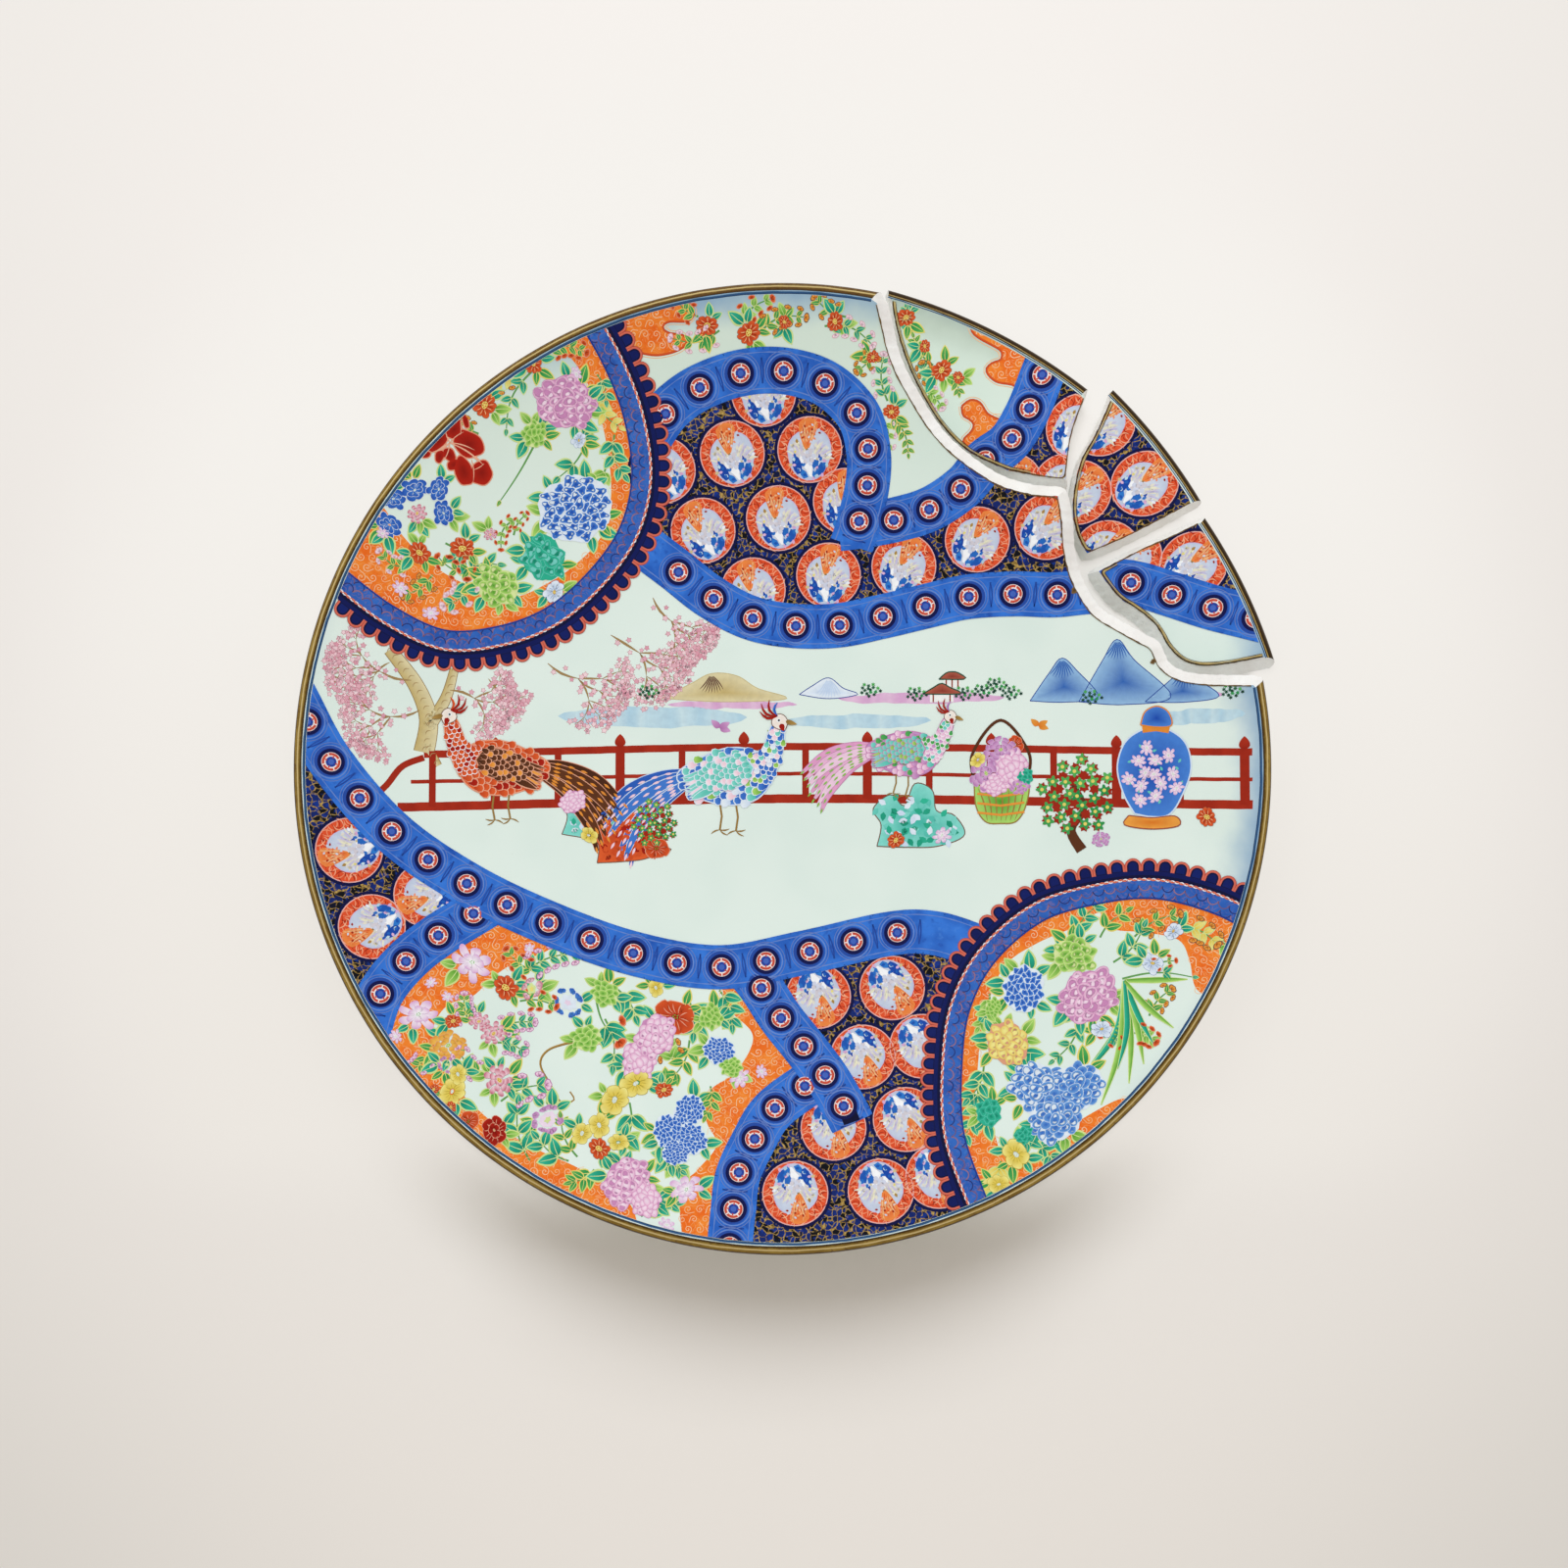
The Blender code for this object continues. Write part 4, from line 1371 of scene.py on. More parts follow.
def steps_along(line, pitch, first=0.5):
    """Number, point and heading of each place one pitch apart, the first one a share of a pitch in."""
    length = np.hypot(*np.diff(line, axis=0).T).sum()
    for number in range(int(length / pitch)):
        yield number, *point_at(line, (number + first) * pitch)


def draw_bands():
    """Bosses along every band, and the darker lines where the brush followed its edges."""
    edges, bosses = Layer(), Layer()
    for name, stretches in BEADS.items():
        line = LINES[name]
        for side in (-1, 1):
            width = 0.55 + 0.25 * ripple(np.arange(len(line)), 23.0, side + len(name))
            edge = ribbon(offset(line, side * (BAND_HALF - 0.7)), width, 3)
            edges.add(edge, "cobalt_line", BAND_LIFT[name], 0.2)
            width = 0.22 + 0.12 * ripple(np.arange(len(line)), 13.0, side)
            edge = ribbon(offset(line, side * (BAND_HALF - 2.4)), width)
            edges.add(edge, "faint_ring", BAND_LIFT[name] + 0.5, 0.9)
        for first, pitch, count in stretches:
            for number in range(count):
                point, heading = point_at(line, first + number * pitch)
                bosses.take(BOSS, point, 1.0, heading + 0.5 * number, BAND_LIFT[name] + 1)
                gap, heading = point_at(line, first + (number + 0.5) * pitch)
                for side in (-1, 1):
                    bow = np.linspace(-0.9, 0.9, 9)
                    arc = np.column_stack([1.6 - 2.2 * np.cos(bow), 7.5 * np.sin(bow)]) * (side, 1)
                    shape = moved(ribbon(arc, 0.2 + 0.14 * np.cos(bow)), gap, 1.0, heading)
                    edges.add(shape, "cobalt_line", BAND_LIFT[name] + 0.6, 0.5 + 0.5 * (side > 0))
    return edges, bosses


band_edges, bosses = draw_bands()
end, heading = point_at(LINES["tongue"], 90)
tongue_tip = moved(ribbon([(-3.9, 0), (0, 0.4), (3.9, 0)], 4.0, 3), end, 1.0, heading)
bosses.add(tongue_tip, "bead_ink", BAND_LIFT["tongue"] + 2, 0.1)
lay(band_edges, "band_edges", UNDERGLAZE)
lay(bosses, "bosses", ENAMEL)

# %% One scallop, and the panel edges
SCALLOP_PITCH = 7.5
SCALLOP = 3.9
SCALE = 5.4                       # pitch of the scale pattern on the rings


def scallop(half, rise, way):
    """A scallop: half a disc with straight sides above it, up to a rise, upwards or downwards."""
    turn = np.linspace(0, math.pi / 2, 8)
    y = np.concatenate([-half * np.cos(turn), [rise]])
    width = np.concatenate([half * np.sin(turn), [half]])
    points, faces, shades = ribbon(np.column_stack([0 * y, y]), width, 3)
    return points * (1, way), faces, shades


def draw_panel_edges():
    """The row of scallops, the cord and the two rows of scales inside each panel's edge."""
    dark, bright = Layer(), Layer()
    for name, edge in PANELS.items():
        side = PANEL_SIDES[name]
        row = within(offset(edge, side * (SCALLOP + 0.2)), 228)
        for number, centre, heading in steps_along(row, SCALLOP_PITCH):
            for less, layer, tone, lift, shade in (
                    (0.0, bright, "salmon", 2.0, 0.05), (0.3, bright, "salmon", 2.7, 0.85),
                    (1.15, dark, "ink", 3.5, 0.7)):
                shape = moved(scallop(SCALLOP - less, 3.2, -side), centre, 1.0, heading)
                layer.add(shape, tone, RING_LIFT + lift, shade)
            glow = moved(scallop(SCALLOP - 1.9, 2.0, -side), centre, 1.0, heading)
            dark.add(glow, "navy", RING_LIFT + 5.0, 0.2 + 0.5 * jump(number))
        dark.add(ribbon(offset(edge, side * 8.3), 1.9, 5), "navy", RING_LIFT + 4.4, 0.25)
        dark.add(ribbon(offset(edge, side * 9.1), 0.7, 3), "ink", RING_LIFT + 5.0, 0.6)
        cord = even(offset(edge, side * 10.5), 0.7)
        bright.add(ribbon(cord, 0.5, 2), "cord", RING_LIFT + 5.6, 0.1)
        turns = np.arange(len(cord)) * 0.7 * math.tau / 4.4
        for phase, tone, lift in ((0.0, "dash", 6.2), (math.pi, "cord", 6.8)):
            strand = cord + right_of(cord) * (0.5 * np.sin(turns + phase))[:, None]
            bright.add(ribbon(strand, 0.24 + 0.08 * np.cos(turns + phase)), tone, RING_LIFT + lift, 0.8)
        dark.add(ribbon(offset(edge, side * ORANGE_DEPTH), 0.4, 3), "cobalt_line", RING_LIFT + 1.4, 0.0)
        for depth, first in ((13.6, 0.25), (17.2, 0.75)):
            arc = np.linspace(0.25, math.pi - 0.25, 9)
            arch = np.column_stack([0.52 * SCALE * np.cos(arc), side * SCALE * (0.2 - 0.62 * np.sin(arc))])
            for number, centre, heading in steps_along(offset(edge, side * depth), SCALE, first):
                shape = moved(ribbon(arch, 0.26), centre, 1.0, heading)
                dark.add(shape, "scale_line", RING_LIFT + 1.3, (number % 3) / 2)
    return dark, bright


panel_dark, panel_bright = draw_panel_edges()
lay(panel_dark, "scallops", UNDERGLAZE)
lay(panel_bright, "scallop_outlines_and_cord", ENAMEL)

# %% [markdown]
# ## Roundels
# The dark brocade is strewn with red roundels, each with a bird in it: a fan of orange feathers above,
# two pale wings, and blue patches round a white tail. The fan always points away from the middle of
# the dish. One roundel is drawn in strokes and then placed; bands and panel edges cut across many.

# %% One roundel
ROUNDEL = 15.3


def draw_roundel():
    """A red disc with strokes round its edge, a pale field, the fan above it and the blue marks below."""
    bird = Layer()
    bird.add(polar(ROUNDEL + 1.7, 1, 36, 0.9), "bead_ink", 0.0, 0.6)
    bird.add(polar(ROUNDEL + 0.2, 1, 36, 0.968), "roundel_edge", 2.0, 0.4)
    bird.add(polar(ROUNDEL, 5, 36), "roundel", 1.0)
    for number in range(90):
        angle = number * math.tau * GOLDEN
        low = ROUNDEL * (0.64 + 0.16 * jump(number, 0.37))
        length = ROUNDEL * (0.17 + 0.1 * jump(number, 0.73))
        lean = 0.34 * math.sin(number * 1.7)
        bird.add(stroke(ray(angle, low), ray(angle + lean, low + length), 0.2 * (-1) ** number, 0.27),
                 "ember" if number % 3 == 1 else "streak", 2.4 + 0.2 * (number % 3), jump(number, 0.29))

    def scaled(points):
        return [(x * ROUNDEL, y * ROUNDEL) for x, y in points]

    def part(points, tone, lift, shade=None, rings=2):
        bird.add(patch(scaled(points), rings, 2.6), tone, lift, shade)

    field = [(-0.42, 0.46), (-0.6, 0.26), (-0.67, -0.04), (-0.6, -0.34), (-0.5, -0.6), (-0.24, -0.84),
             (0.1, -0.9), (0.4, -0.74), (0.56, -0.42), (0.65, -0.04), (0.56, 0.34), (0.36, 0.56), (0.1, 0.62),
             (-0.2, 0.58)]
    part([(1.05 * x, 1.04 * y) for x, y in field], "pastel", 3.0, 0.1, 4)
    part(field, "wing", 3.8, None, 4)
    feather_tones = ("wing_line", "pastel", "mist", "lake", "wing_line", "gold", "pastel", "sand", "wing")
    dotted(bird, scaled(field), feather_tones, 96, 1.05, 4.0, "stroke")
    for number in range(44):
        side = 1 if number % 2 else -1
        lean = math.pi / 2 - side * (0.25 + 0.085 * (number // 2 % 15))
        low = ROUNDEL * (0.1 + 0.34 * jump(number))
        start = ray(lean, low, (side * 1.5, -5.0))
        bird.add(stroke(start, ray(lean + 0.1 * side, 4.4, start), 0.12 * side, 0.5), "pastel",
                 4.6 + 0.2 * (number % 3), jump(number, 0.37))
    part([(-0.15, 0.0), (-0.04, 0.02), (0.1, 0.42), (0.2, 0.76), (0.08, 0.93), (-0.16, 0.94), (-0.4, 0.8),
          (-0.37, 0.5), (-0.27, 0.22)], "plume", 5.6, None, 3)
    for number in range(27):
        across = (number - 13) / 13
        low = 1.0 + 2.2 * abs(across) + 5.5 * jump(number)
        high = low + 4.2 + 2.0 * jump(number, 0.37)
        start, stop = (-1.4 + (0.6 + 0.3 * low) * across, low), (-1.5 + (0.6 + 0.3 * high) * across, high)
        bird.add(stroke(start, stop, 0.1 * (-1) ** number, 0.24), "plume_line", 6.4 + 0.3 * (number % 3),
                 0.0 if number % 3 == 1 else 1.0)
    part([(-0.24, -0.12), (-0.3, -0.34), (-0.16, -0.5), (0.02, -0.72), (0.15, -0.88), (0.12, -0.52),
          (0.24, -0.3), (0.14, -0.1), (-0.06, -0.04)], "wing_line", 5.4, 1.0)
    for shade, points in (
            (0.0, [(-0.47, -0.19), (-0.34, -0.26), (-0.22, -0.46), (-0.19, -0.72), (-0.3, -0.79),
                   (-0.46, -0.62), (-0.52, -0.4)]),
            (1.0, [(-0.2, -0.6), (-0.08, -0.64), (0.03, -0.84), (-0.08, -0.9), (-0.22, -0.82)]),
            (0.05, [(0.3, -0.08), (0.38, -0.16), (0.34, -0.28), (0.26, -0.2)]),
            (0.6, [(0.14, -0.28), (0.31, -0.3), (0.3, -0.5), (0.15, -0.6), (0.1, -0.44)]),
            (0.25, [(0.38, -0.34), (0.55, -0.4), (0.52, -0.6), (0.38, -0.76), (0.26, -0.68), (0.3, -0.5)]),
            (0.9, [(0.16, -0.6), (0.26, -0.7), (0.28, -0.8), (0.18, -0.86), (0.14, -0.76)])):
        part(points, "bird_blue", 6.2, shade, 1)
    for tone, points in (("bird_green", [(0.32, -0.3), (0.42, -0.28), (0.4, -0.38)]),
                         ("yellow", [(-0.5, -0.08), (-0.42, -0.02), (-0.4, -0.14), (-0.48, -0.18)])):
        part(points, tone, 6.2, 0.6, 1)
    for corners, tones, count, lift in (
            ([(-0.56, -0.08), (-0.3, -0.1), (-0.12, -0.4), (-0.1, -0.86), (-0.36, -0.78), (-0.58, -0.46)],
             ("bird_blue", "lake", "bird_blue", "bird_blue", "mist"), 13, 6.6),
            ([(0.1, -0.2), (0.42, -0.12), (0.6, -0.4), (0.42, -0.8), (0.12, -0.8)],
             ("lake", "bird_blue", "mist", "bird_blue", "bird_blue"), 12, 6.6),
            ([(-0.42, 0.5), (-0.28, 0.2), (0.08, 0.16), (0.34, 0.6), (0.2, 0.88), (-0.2, 0.9)],
             ("streak", "plume_line", "wing", "ember", "plume"), 24, 7.0)):
        dotted(bird, scaled(corners), tones, count, 17.0 / (count + 8) + 0.18, lift, "stroke")
    for number in range(12):
        place = ray(number * 2.4, 0.95 * math.sqrt(number), (-0.4, -3.6))
        tone = ("wing_line", "pastel")[number % 2]
        bird.add(moved(polar(1.15, 1, 8), place), tone, 7.0 + 0.2 * (number % 3), 0.4)
    return bird


BIRD = draw_roundel()
ROUNDELS = {
    "dish_body": [(-24, 152), (13, 154), (-2, 122), (-38, 116), (22, 95), (58, 99), (-14, 88), (-9, 180),
                  (-57, 144), (30, 130), (93, 111), (126, 116), (-204, -40), (-193, -76), (-168, -60),
                  (17, -107), (52, -103), (38, -136), (66, -131), (58, -166), (24, -170), (6, -201),
                  (46, -200), (73, -193)],
    "upper_shard": [(139.4, 161.4), (134, 134), (108, 135)],
    "middle_shard": [(146.5, 156.8), (168.3, 128.5), (138.2, 124.1), (153.3, 95.7)],
    "lower_shard": [(194.2, 87.8), (165.2, 95.1)],
}
ROUNDEL_LIFT = 2.4
for piece, places in ROUNDELS.items():
    birds = Layer()
    for place in places:
        birds.take(BIRD, place, 1.0, angle_of(place) - math.pi / 2, ROUNDEL_LIFT)
    lay(birds, "roundels", ENAMEL, (piece,))

# %% [markdown]
# ## Flowers and leaves
# The panels are filled with the flowers of a painted album. Nearly all are rings of round petals, and
# what tells them apart is how many rings, how many petals and which enamel. Each petal is laid twice:
# first a little too large in the pale line colour, then at its size in its own colour, which leaves
# the fine pale outline that a painter would draw. One flower of each kind is drawn, then placed.

# %% Petals, blooms and leaves
RING_COATS = 1.5                  # each ring of petals stands this many coats above the one outside it


def bloom(rings, tone, line, heart="yellow", heart_size=1.2, edge=0.3, deep=0.0, bright=1.0):
    """Rings from the outside in, each as (start radius, petal length, half width, number of petals)."""
    flower = Layer()
    for level, (start, length, half, count) in enumerate(rings):
        for number in range(count):
            angle = math.tau * (number + 0.5 * (level % 2)) / count + 0.12 * math.sin(3.1 * number + level)
            reach = length * (1 + 0.12 * math.sin(2.3 * number + 1.7 * level))
            under = moved(lobe(reach + 2 * edge, half + edge), ray(angle, start - edge), 1.0, angle)
            flower.add(under, line, RING_COATS * level, 0.8)
            points, faces, shades = moved(lobe(reach, half), ray(angle, start), 1.0, angle)
            shades = deep + (bright - deep) * shades ** 2.2
            flower.add((points, faces, shades), tone, RING_COATS * level + 0.8)
    top = RING_COATS * len(rings)
    if heart:
        flower.add(polar(heart_size, 1, 10), heart, top, 0.5)
        for number in range(5):
            flower.add(moved(polar(heart_size * 0.22, 1, 6), ray(number * math.tau / 5, heart_size * 0.55)),
                       "red" if heart == "yellow" else "lime", top + 0.7, 0.2)
    return flower


def wilted(flower, wide=1.09, sway=0.42):
    """A bloom pressed out of round by two sine waves, so that no two of its petals are alike."""
    for number, points in enumerate(flower.points):
        x, y = points.T
        flower.points[number] = np.column_stack([wide * x + sway * np.sin(0.62 * y + 0.4),
                                                 y / wide + sway * np.sin(0.55 * x + 1.1)])
    return flower


def veined(flower, tone, count, start, stop, lift, half=0.16):
    """Fine lines from near the middle outwards, laid on a bloom."""
    for number in range(count):
        angle = math.tau * number / count + 0.1 * math.sin(5 * number)
        flower.add(stroke(ray(angle, start), ray(angle + 0.05, stop), 0.06, half, 4), tone, lift, 0.6)
    return flower


def leaf(length=10.0, half=2.6, core="teal", rim="lime_line"):
    """A leaf along +X: pale rim, darker blade and a fine rib."""
    blade = Layer()
    blade.add(petal(length, half, 0.75, 8), rim, 0.0, 0.5)
    inner = petal(length * 0.86, half * 0.72, 0.75, 8)
    blade.add(moved(inner, (length * 0.05, 0)), core, 0.8)
    rib = [(0.3, 0), (length * 0.4, half * 0.06), (length * 0.8, 0)]
    blade.add(ribbon(rib, [0.2, 0.16, 0.08]), rim, 1.6, 0.7)
    return blade


def floret(tone, line):
    """Three small lobes from one foot along +X, dark at their tips."""
    made = Layer()
    for lean in (-0.66, 0.66, 0.0):
        made.add(moved(lobe(3.7, 1.45, 5), (0, 0), 1.0, lean), line, 0.0, 0.8)
        points, faces, shades = moved(lobe(3.3, 1.15, 5), ray(lean, 0.15), 1.0, lean)
        made.add((points, faces, 1 - shades ** 3), tone, 0.8)
    return made


def wreath(tone, line, count, radius, size, middle, heart):
    """Florets in a ring round an open middle."""
    flower = Layer()
    flower.add(polar(lambda a: radius * (0.86 + 0.1 * np.cos(count * a)), 2, 24), middle, 0.0, 0.7)
    for number in range(count):
        angle = math.tau * number / count + 0.14 * math.sin(2.7 * number)
        flower.take(floret(tone, line), ray(angle, radius), size * (1 + 0.14 * math.sin(4.1 * number)), angle,
                    0.8 + 0.5 * (number % 2))
    flower.add(rosette(2.3, 0.2, 5, 1, 20), heart, 3.0, 0.6)
    return flower


def head(count, size, lobes, depth, tone, line, base, pale_middle=False, edge=0.22):
    """A full head: small round florets on a spiral of golden turns, the inner ones over the outer."""
    flower = Layer()
    flower.add(polar(lambda a: 9.4 * (1 + 0.04 * np.sin(9 * a)), 3, 36), base, 0.0, 0.8)
    for number in range(count - 1, -1, -1):
        angle = number * math.tau * GOLDEN
        place = ray(angle, 8.6 * math.sqrt((number + 0.4) / count))
        turn = angle + 0.5 * math.sin(2.1 * number)
        reach = size * (1 + 0.14 * math.sin(1.3 * number))
        points, faces, shades = rosette(reach, depth, lobes, 2)
        lift = 0.8 + 7.0 * (count - number) / count
        under = polar(lambda a: edge + reach * (1 - depth + depth * np.cos(lobes * a)), 1, 15)
        flower.add(moved(under, place, 1.0, turn), line, lift, 0.7)
        floret_shades = 1 - 0.62 * shades ** 2 if pale_middle else shades
        flower.add(moved((points, faces, floret_shades), place, 1.0, turn), tone, lift + 0.12)
    return flower


KINDS = {
    "peony": head(27, 2.5, 2, 0.08, "pink", "pink_line", "pink_line", True, 0.16),
    "blue_large": head(30, 2.2, 2, 0.1, "azure", "blue_pale", "blue_pale", False, 0.15),
    "canary": head(20, 2.6, 2, 0.1, "canary", "saffron_line", "saffron_line", True, 0.16),
    "blue": head(42, 1.65, 3, 0.2, "blue", "blue_pale", "blue_pale", False, 0.26),
    "lime": head(17, 2.9, 2, 0.1, "lime", "lime_line", "lime_line", False, 0.26),
    "teal": head(11, 3.3, 3, 0.16, "teal", "turquoise", "teal", False, 0.16),
    "yellow_bloom": bloom([(5.4, 4.4, 1.9, 13), (3.4, 4.0, 1.7, 10), (1.4, 3.4, 1.5, 7)],
                          "saffron", "saffron_line", "lime_line", 1.3, 0.2, 0.9, 0.1),
    "yellow": veined(bloom([(1.2, 8.6, 3.9, 6)], "yellow", "yellow_line", "white", 1.3, 0.4, 0.1, 1.0),
                     "yellow_line", 12, 1.8, 6.2, 2.4, 0.22),
    "orange": veined(bloom([(1.4, 8.4, 2.7, 9)], "red", "outline", "yellow", 2.9, 0.3, 0.1),
                     "ground_line", 9, 3.4, 7.8, 2.4, 0.35),
    "star": bloom([(4.6, 5.2, 1.75, 9), (2.2, 4.6, 1.7, 7), (0.6, 2.8, 1.4, 5)],
                  "rosy", "rosy_line", "yellow", 1.6, 0.26, 1.0, 0.0),
    "blossom": veined(bloom([(1.4, 8.8, 2.5, 7), (0.6, 5.2, 2.0, 6)],
                            "petal", "petal_line", "white", 1.6, 0.16, 1.0, 0.0),
                      "petal_line", 7, 2.4, 7.4, 2.4, 0.13),
    "pansy": veined(bloom([(0.6, 9.0, 3.2, 7), (0.4, 5.6, 2.0, 6)],
                          "blue", "blue_pale", None, 0, 0.34, 0.75, 0.0),
                    "blue_pale", 7, 1.6, 4.6, 3.4, 0.16),
    "poppy": veined(bloom([(0.8, 9.0, 4.6, 6)], "red", "crimson_line", "crimson", 2.0, 0.4, 0.1, 0.7),
                    "crimson_line", 12, 2.4, 7.4, 2.6, 0.24),
    "crimson": veined(bloom([(1.6, 8.6, 4.2, 6), (0.4, 4.6, 2.2, 5)],
                            "crimson", "crimson_line", "crimson_line", 1.0, 0.34, 0.0),
                      "crimson_line", 12, 4.6, 8.0, 2.4, 0.26),
    "pale": veined(bloom([(0.9, 8.8, 3.7, 7)], "blue_pale", "faint_ring", "yellow", 1.7, 0.3, 0.2),
                   "faint_ring", 7, 2.4, 7.0, 2.4, 0.2),
    "mauve": bloom([(5.8, 4.0, 2.0, 11), (3.4, 3.8, 1.9, 8), (1.0, 3.0, 1.6, 6)],
                   "mauve", "petal_line", "lime_line", 1.2, 0.24, 1.0, 0.0),
    "blue_wreath": wreath("blue", "blue_pale", 7, 6.0, 1.1, "blue_pale", "petal"),
    "rosy_wreath": wreath("rosy", "rosy_line", 5, 4.8, 1.35, "lime_line", "yellow"),
    "mixed_wreath": wreath("mauve", "petal_line", 8, 5.6, 1.05, "petal", "lime_line"),
}
KINDS = {name: wilted(flower) for name, flower in KINDS.items()}
LEAVES = {"teal": leaf(10, 3.1), "lime": leaf(10, 3.1, "lime", "lime_line"),
          "leaf": leaf(10, 2.8, "leaf", "yellow"), "yellow": leaf(10, 2.8, "yellow", "lime_line")}
GREENS = ("teal", "leaf", "teal", "lime")


def place_flowers(places, foliage, flowers):
    """Each place is (kind, x, y, radius, headings of the leaves round it in degrees)."""
    for index, (kind, x, y, radius, headings) in enumerate(places):
        for number, heading in enumerate(headings):
            way = math.radians(heading)
            length = (7.6 + 3.0 * ((index * 0.37 + number * GOLDEN) % 1)) * (0.82 + 0.02 * radius)
            green = LEAVES[GREENS[(index + number) % 4]]
            for lean in (-0.55, 0.6):
                foot = ray(way + 0.25 * lean, radius * 0.82, (x, y))
                foliage.take(green, foot, length / 10 * (1 if lean > 0 else 0.8), way + lean,
                             2.5 + 2.0 * ((index + number) % 3) + 0.3 * (lean > 0))
        flowers.take(KINDS[kind], (x, y), radius / 10, 0.7 * index, 5.0 + 2.2 * (index % 4))


def spray(foliage, start, stop, bend, pairs, size, tip=None, green="leaf", wood="stem"):
    """A bowed stem with leaves in pairs along it and, where asked, a bud at each leaf's foot."""
    start, stop = np.array(start, float), np.array(stop, float)
    t = np.linspace(0, 1, 15)[:, None]
    way = stop - start
    line = start + way * t + np.array([-way[1], way[0]]) * bend * np.sin(math.pi * t)
    foliage.add(ribbon(line, np.linspace(0.5, 0.25, 15)), wood, 2.0, 0.4)
    heading = angle_of(way)
    for number in range(pairs):
        point, heading = point_at(line, np.hypot(*way) * (number + 0.6) / pairs)
        shrink = 1 - 0.35 * number / pairs
        for side in (-1, 1):
            lean = side * (0.75 + 0.2 * (number % 2))
            foliage.take(LEAVES[green], point, size / 8.4 * shrink, heading + lean, 3.0 + 2.0 * (number % 2))
            if tip:
                bud = ray(heading + side * 1.25, size * 0.75 * shrink, point)
                foliage.take(BUDS[tip], bud, 0.2 + 0.14 * size, heading + side * 1.25, 7.0)
    if tip:
        foliage.take(BUDS[tip], line[-1], 0.3 + 0.17 * size, heading, 7.0)
    else:
        foliage.take(LEAVES[green], line[-1], size / 10 * 0.7, heading, 7.0)


def plant(places, sprays, foliage, flowers):
    """Flowers with their leaves, and then sprays, on the layers given."""
    place_flowers(places, foliage, flowers)
    for each in sprays:
        spray(foliage, *each)


def bud(tone, line):
    """Three small lobes from one foot, outlined."""
    made = Layer()
    for lean in (-0.7, 0.0, 0.7):
        made.add(moved(lobe(2.5, 0.95, 4), (0, 0), 1.0, lean), line, 0.0, 0.3)
        made.add(moved(lobe(2.0, 0.7, 4), (0.2, 0), 1.0, lean), tone, 0.8)
    return made


BUDS = {"red": bud("red", "crimson_line"), "pink": bud("pink", "pink_line"),
        "orange": bud("orange", "outline"), "blush": bud("blush", "cherry")}
print(len(KINDS), "kinds of flower,", len(LEAVES), "kinds of leaf")

# %% The flowers of the upper panel
upper_flowers = [
    ("peony", -103, 174, 13.5, (75, 40, 5, 330, 300)), ("orange", -141, 171, 5.5, (160, 60, 330)),
    ("orange", -118, 191, 4.5, (190, 90, 40, 300)), ("orange", -172, 102, 5, (95, 200, 310)),
    ("orange", -152, 105, 5.5, (60, 330, 240)), ("pansy", -174, 131, 6, (100, 150)),
    ("pansy", -163, 132, 5.5, (60,)), ("pansy", -161, 121, 5.5, (330, 20)),
    ("pansy", -186, 114, 6, (250, 200)), ("pansy", -184, 126, 5.5, (170,)),
    ("star", -173, 120, 4.5, (270, 300)), ("lime", -118, 159, 6, (100, 40, 340, 210)),
    ("teal", -114, 102, 11, (200, 330, 150)), ("lime", -136, 88, 10, (170, 210, 290, 340, 130)),
    ("blue", -99, 125, 17.5, (150, 195, 60, 340, 310)), ("pale", -109, 86, 5, (0, 200)),
    ("blossom", -98, 187, 3, ()), ("blossom", -181, 85, 3.5, ()), ("blossom", -167, 74, 3.5, ()),
    ("blossom", -130, 68, 3, ()), ("blossom", -104, 76, 3, ()), ("blossom", -83, 99, 2.6, ()),
    ("blossom", -189, 110, 2.6, ()), ("star", -139, 112, 3, (120,)), ("pale", -97, 157, 3.5, (30, 320)),
]
upper_sprays = [
    ((-119, 187), (-131, 161), -0.12, 3, 5.5, None, "teal"),
    ((-118, 154), (-134, 128), 0.02, 0, 5, None, "leaf"),
    ((-93, 157), (-106, 140), 0.08, 1, 8, None, "teal"),
    ((-126, 120), (-134, 106), -0.2, 4, 3.2, "red", "lime"),
    ((-128, 112), (-122, 122), 0.1, 3, 2.6, "red", "lime"),
    ((-160, 107), (-150, 92), 0.2, 3, 5, "red", "teal"),
    ((-176, 96), (-190, 101), 0.2, 3, 4.5, "blush", "leaf"),
    ((-166, 92), (-179, 82), 0.1, 3, 5, "orange", "leaf"),
    ((-150, 92), (-160, 78), 0.2, 3, 6, "blush", "teal"),
    ((-127, 186), (-146, 179), 0.1, 4, 5, "orange", "yellow"),
    ((-86, 178), (-78, 164), -0.2, 3, 6, None, "yellow"),
    ((-80, 160), (-76, 142), -0.15, 3, 7.5, None, "teal"), ((-84, 146), (-92, 138), 0.2, 2, 6, None, "lime"),
    ((-144, 158), (-152, 164), 0.1, 2, 4, "orange", "leaf"),
    ((-146, 96), (-163, 100), 0.2, 3, 4.6, "red", "leaf"), ((-150, 92), (-136, 98), 0.2, 2, 7, None, "teal"),
    ((-112, 196), (-94, 197), 0.15, 4, 5, "red", "leaf"), ((-88, 187), (-84, 176), 0.1, 2, 6, None, "teal"),
]
foliage, flowers = Layer(), Layer()
plant(upper_flowers, upper_sprays, foliage, flowers)
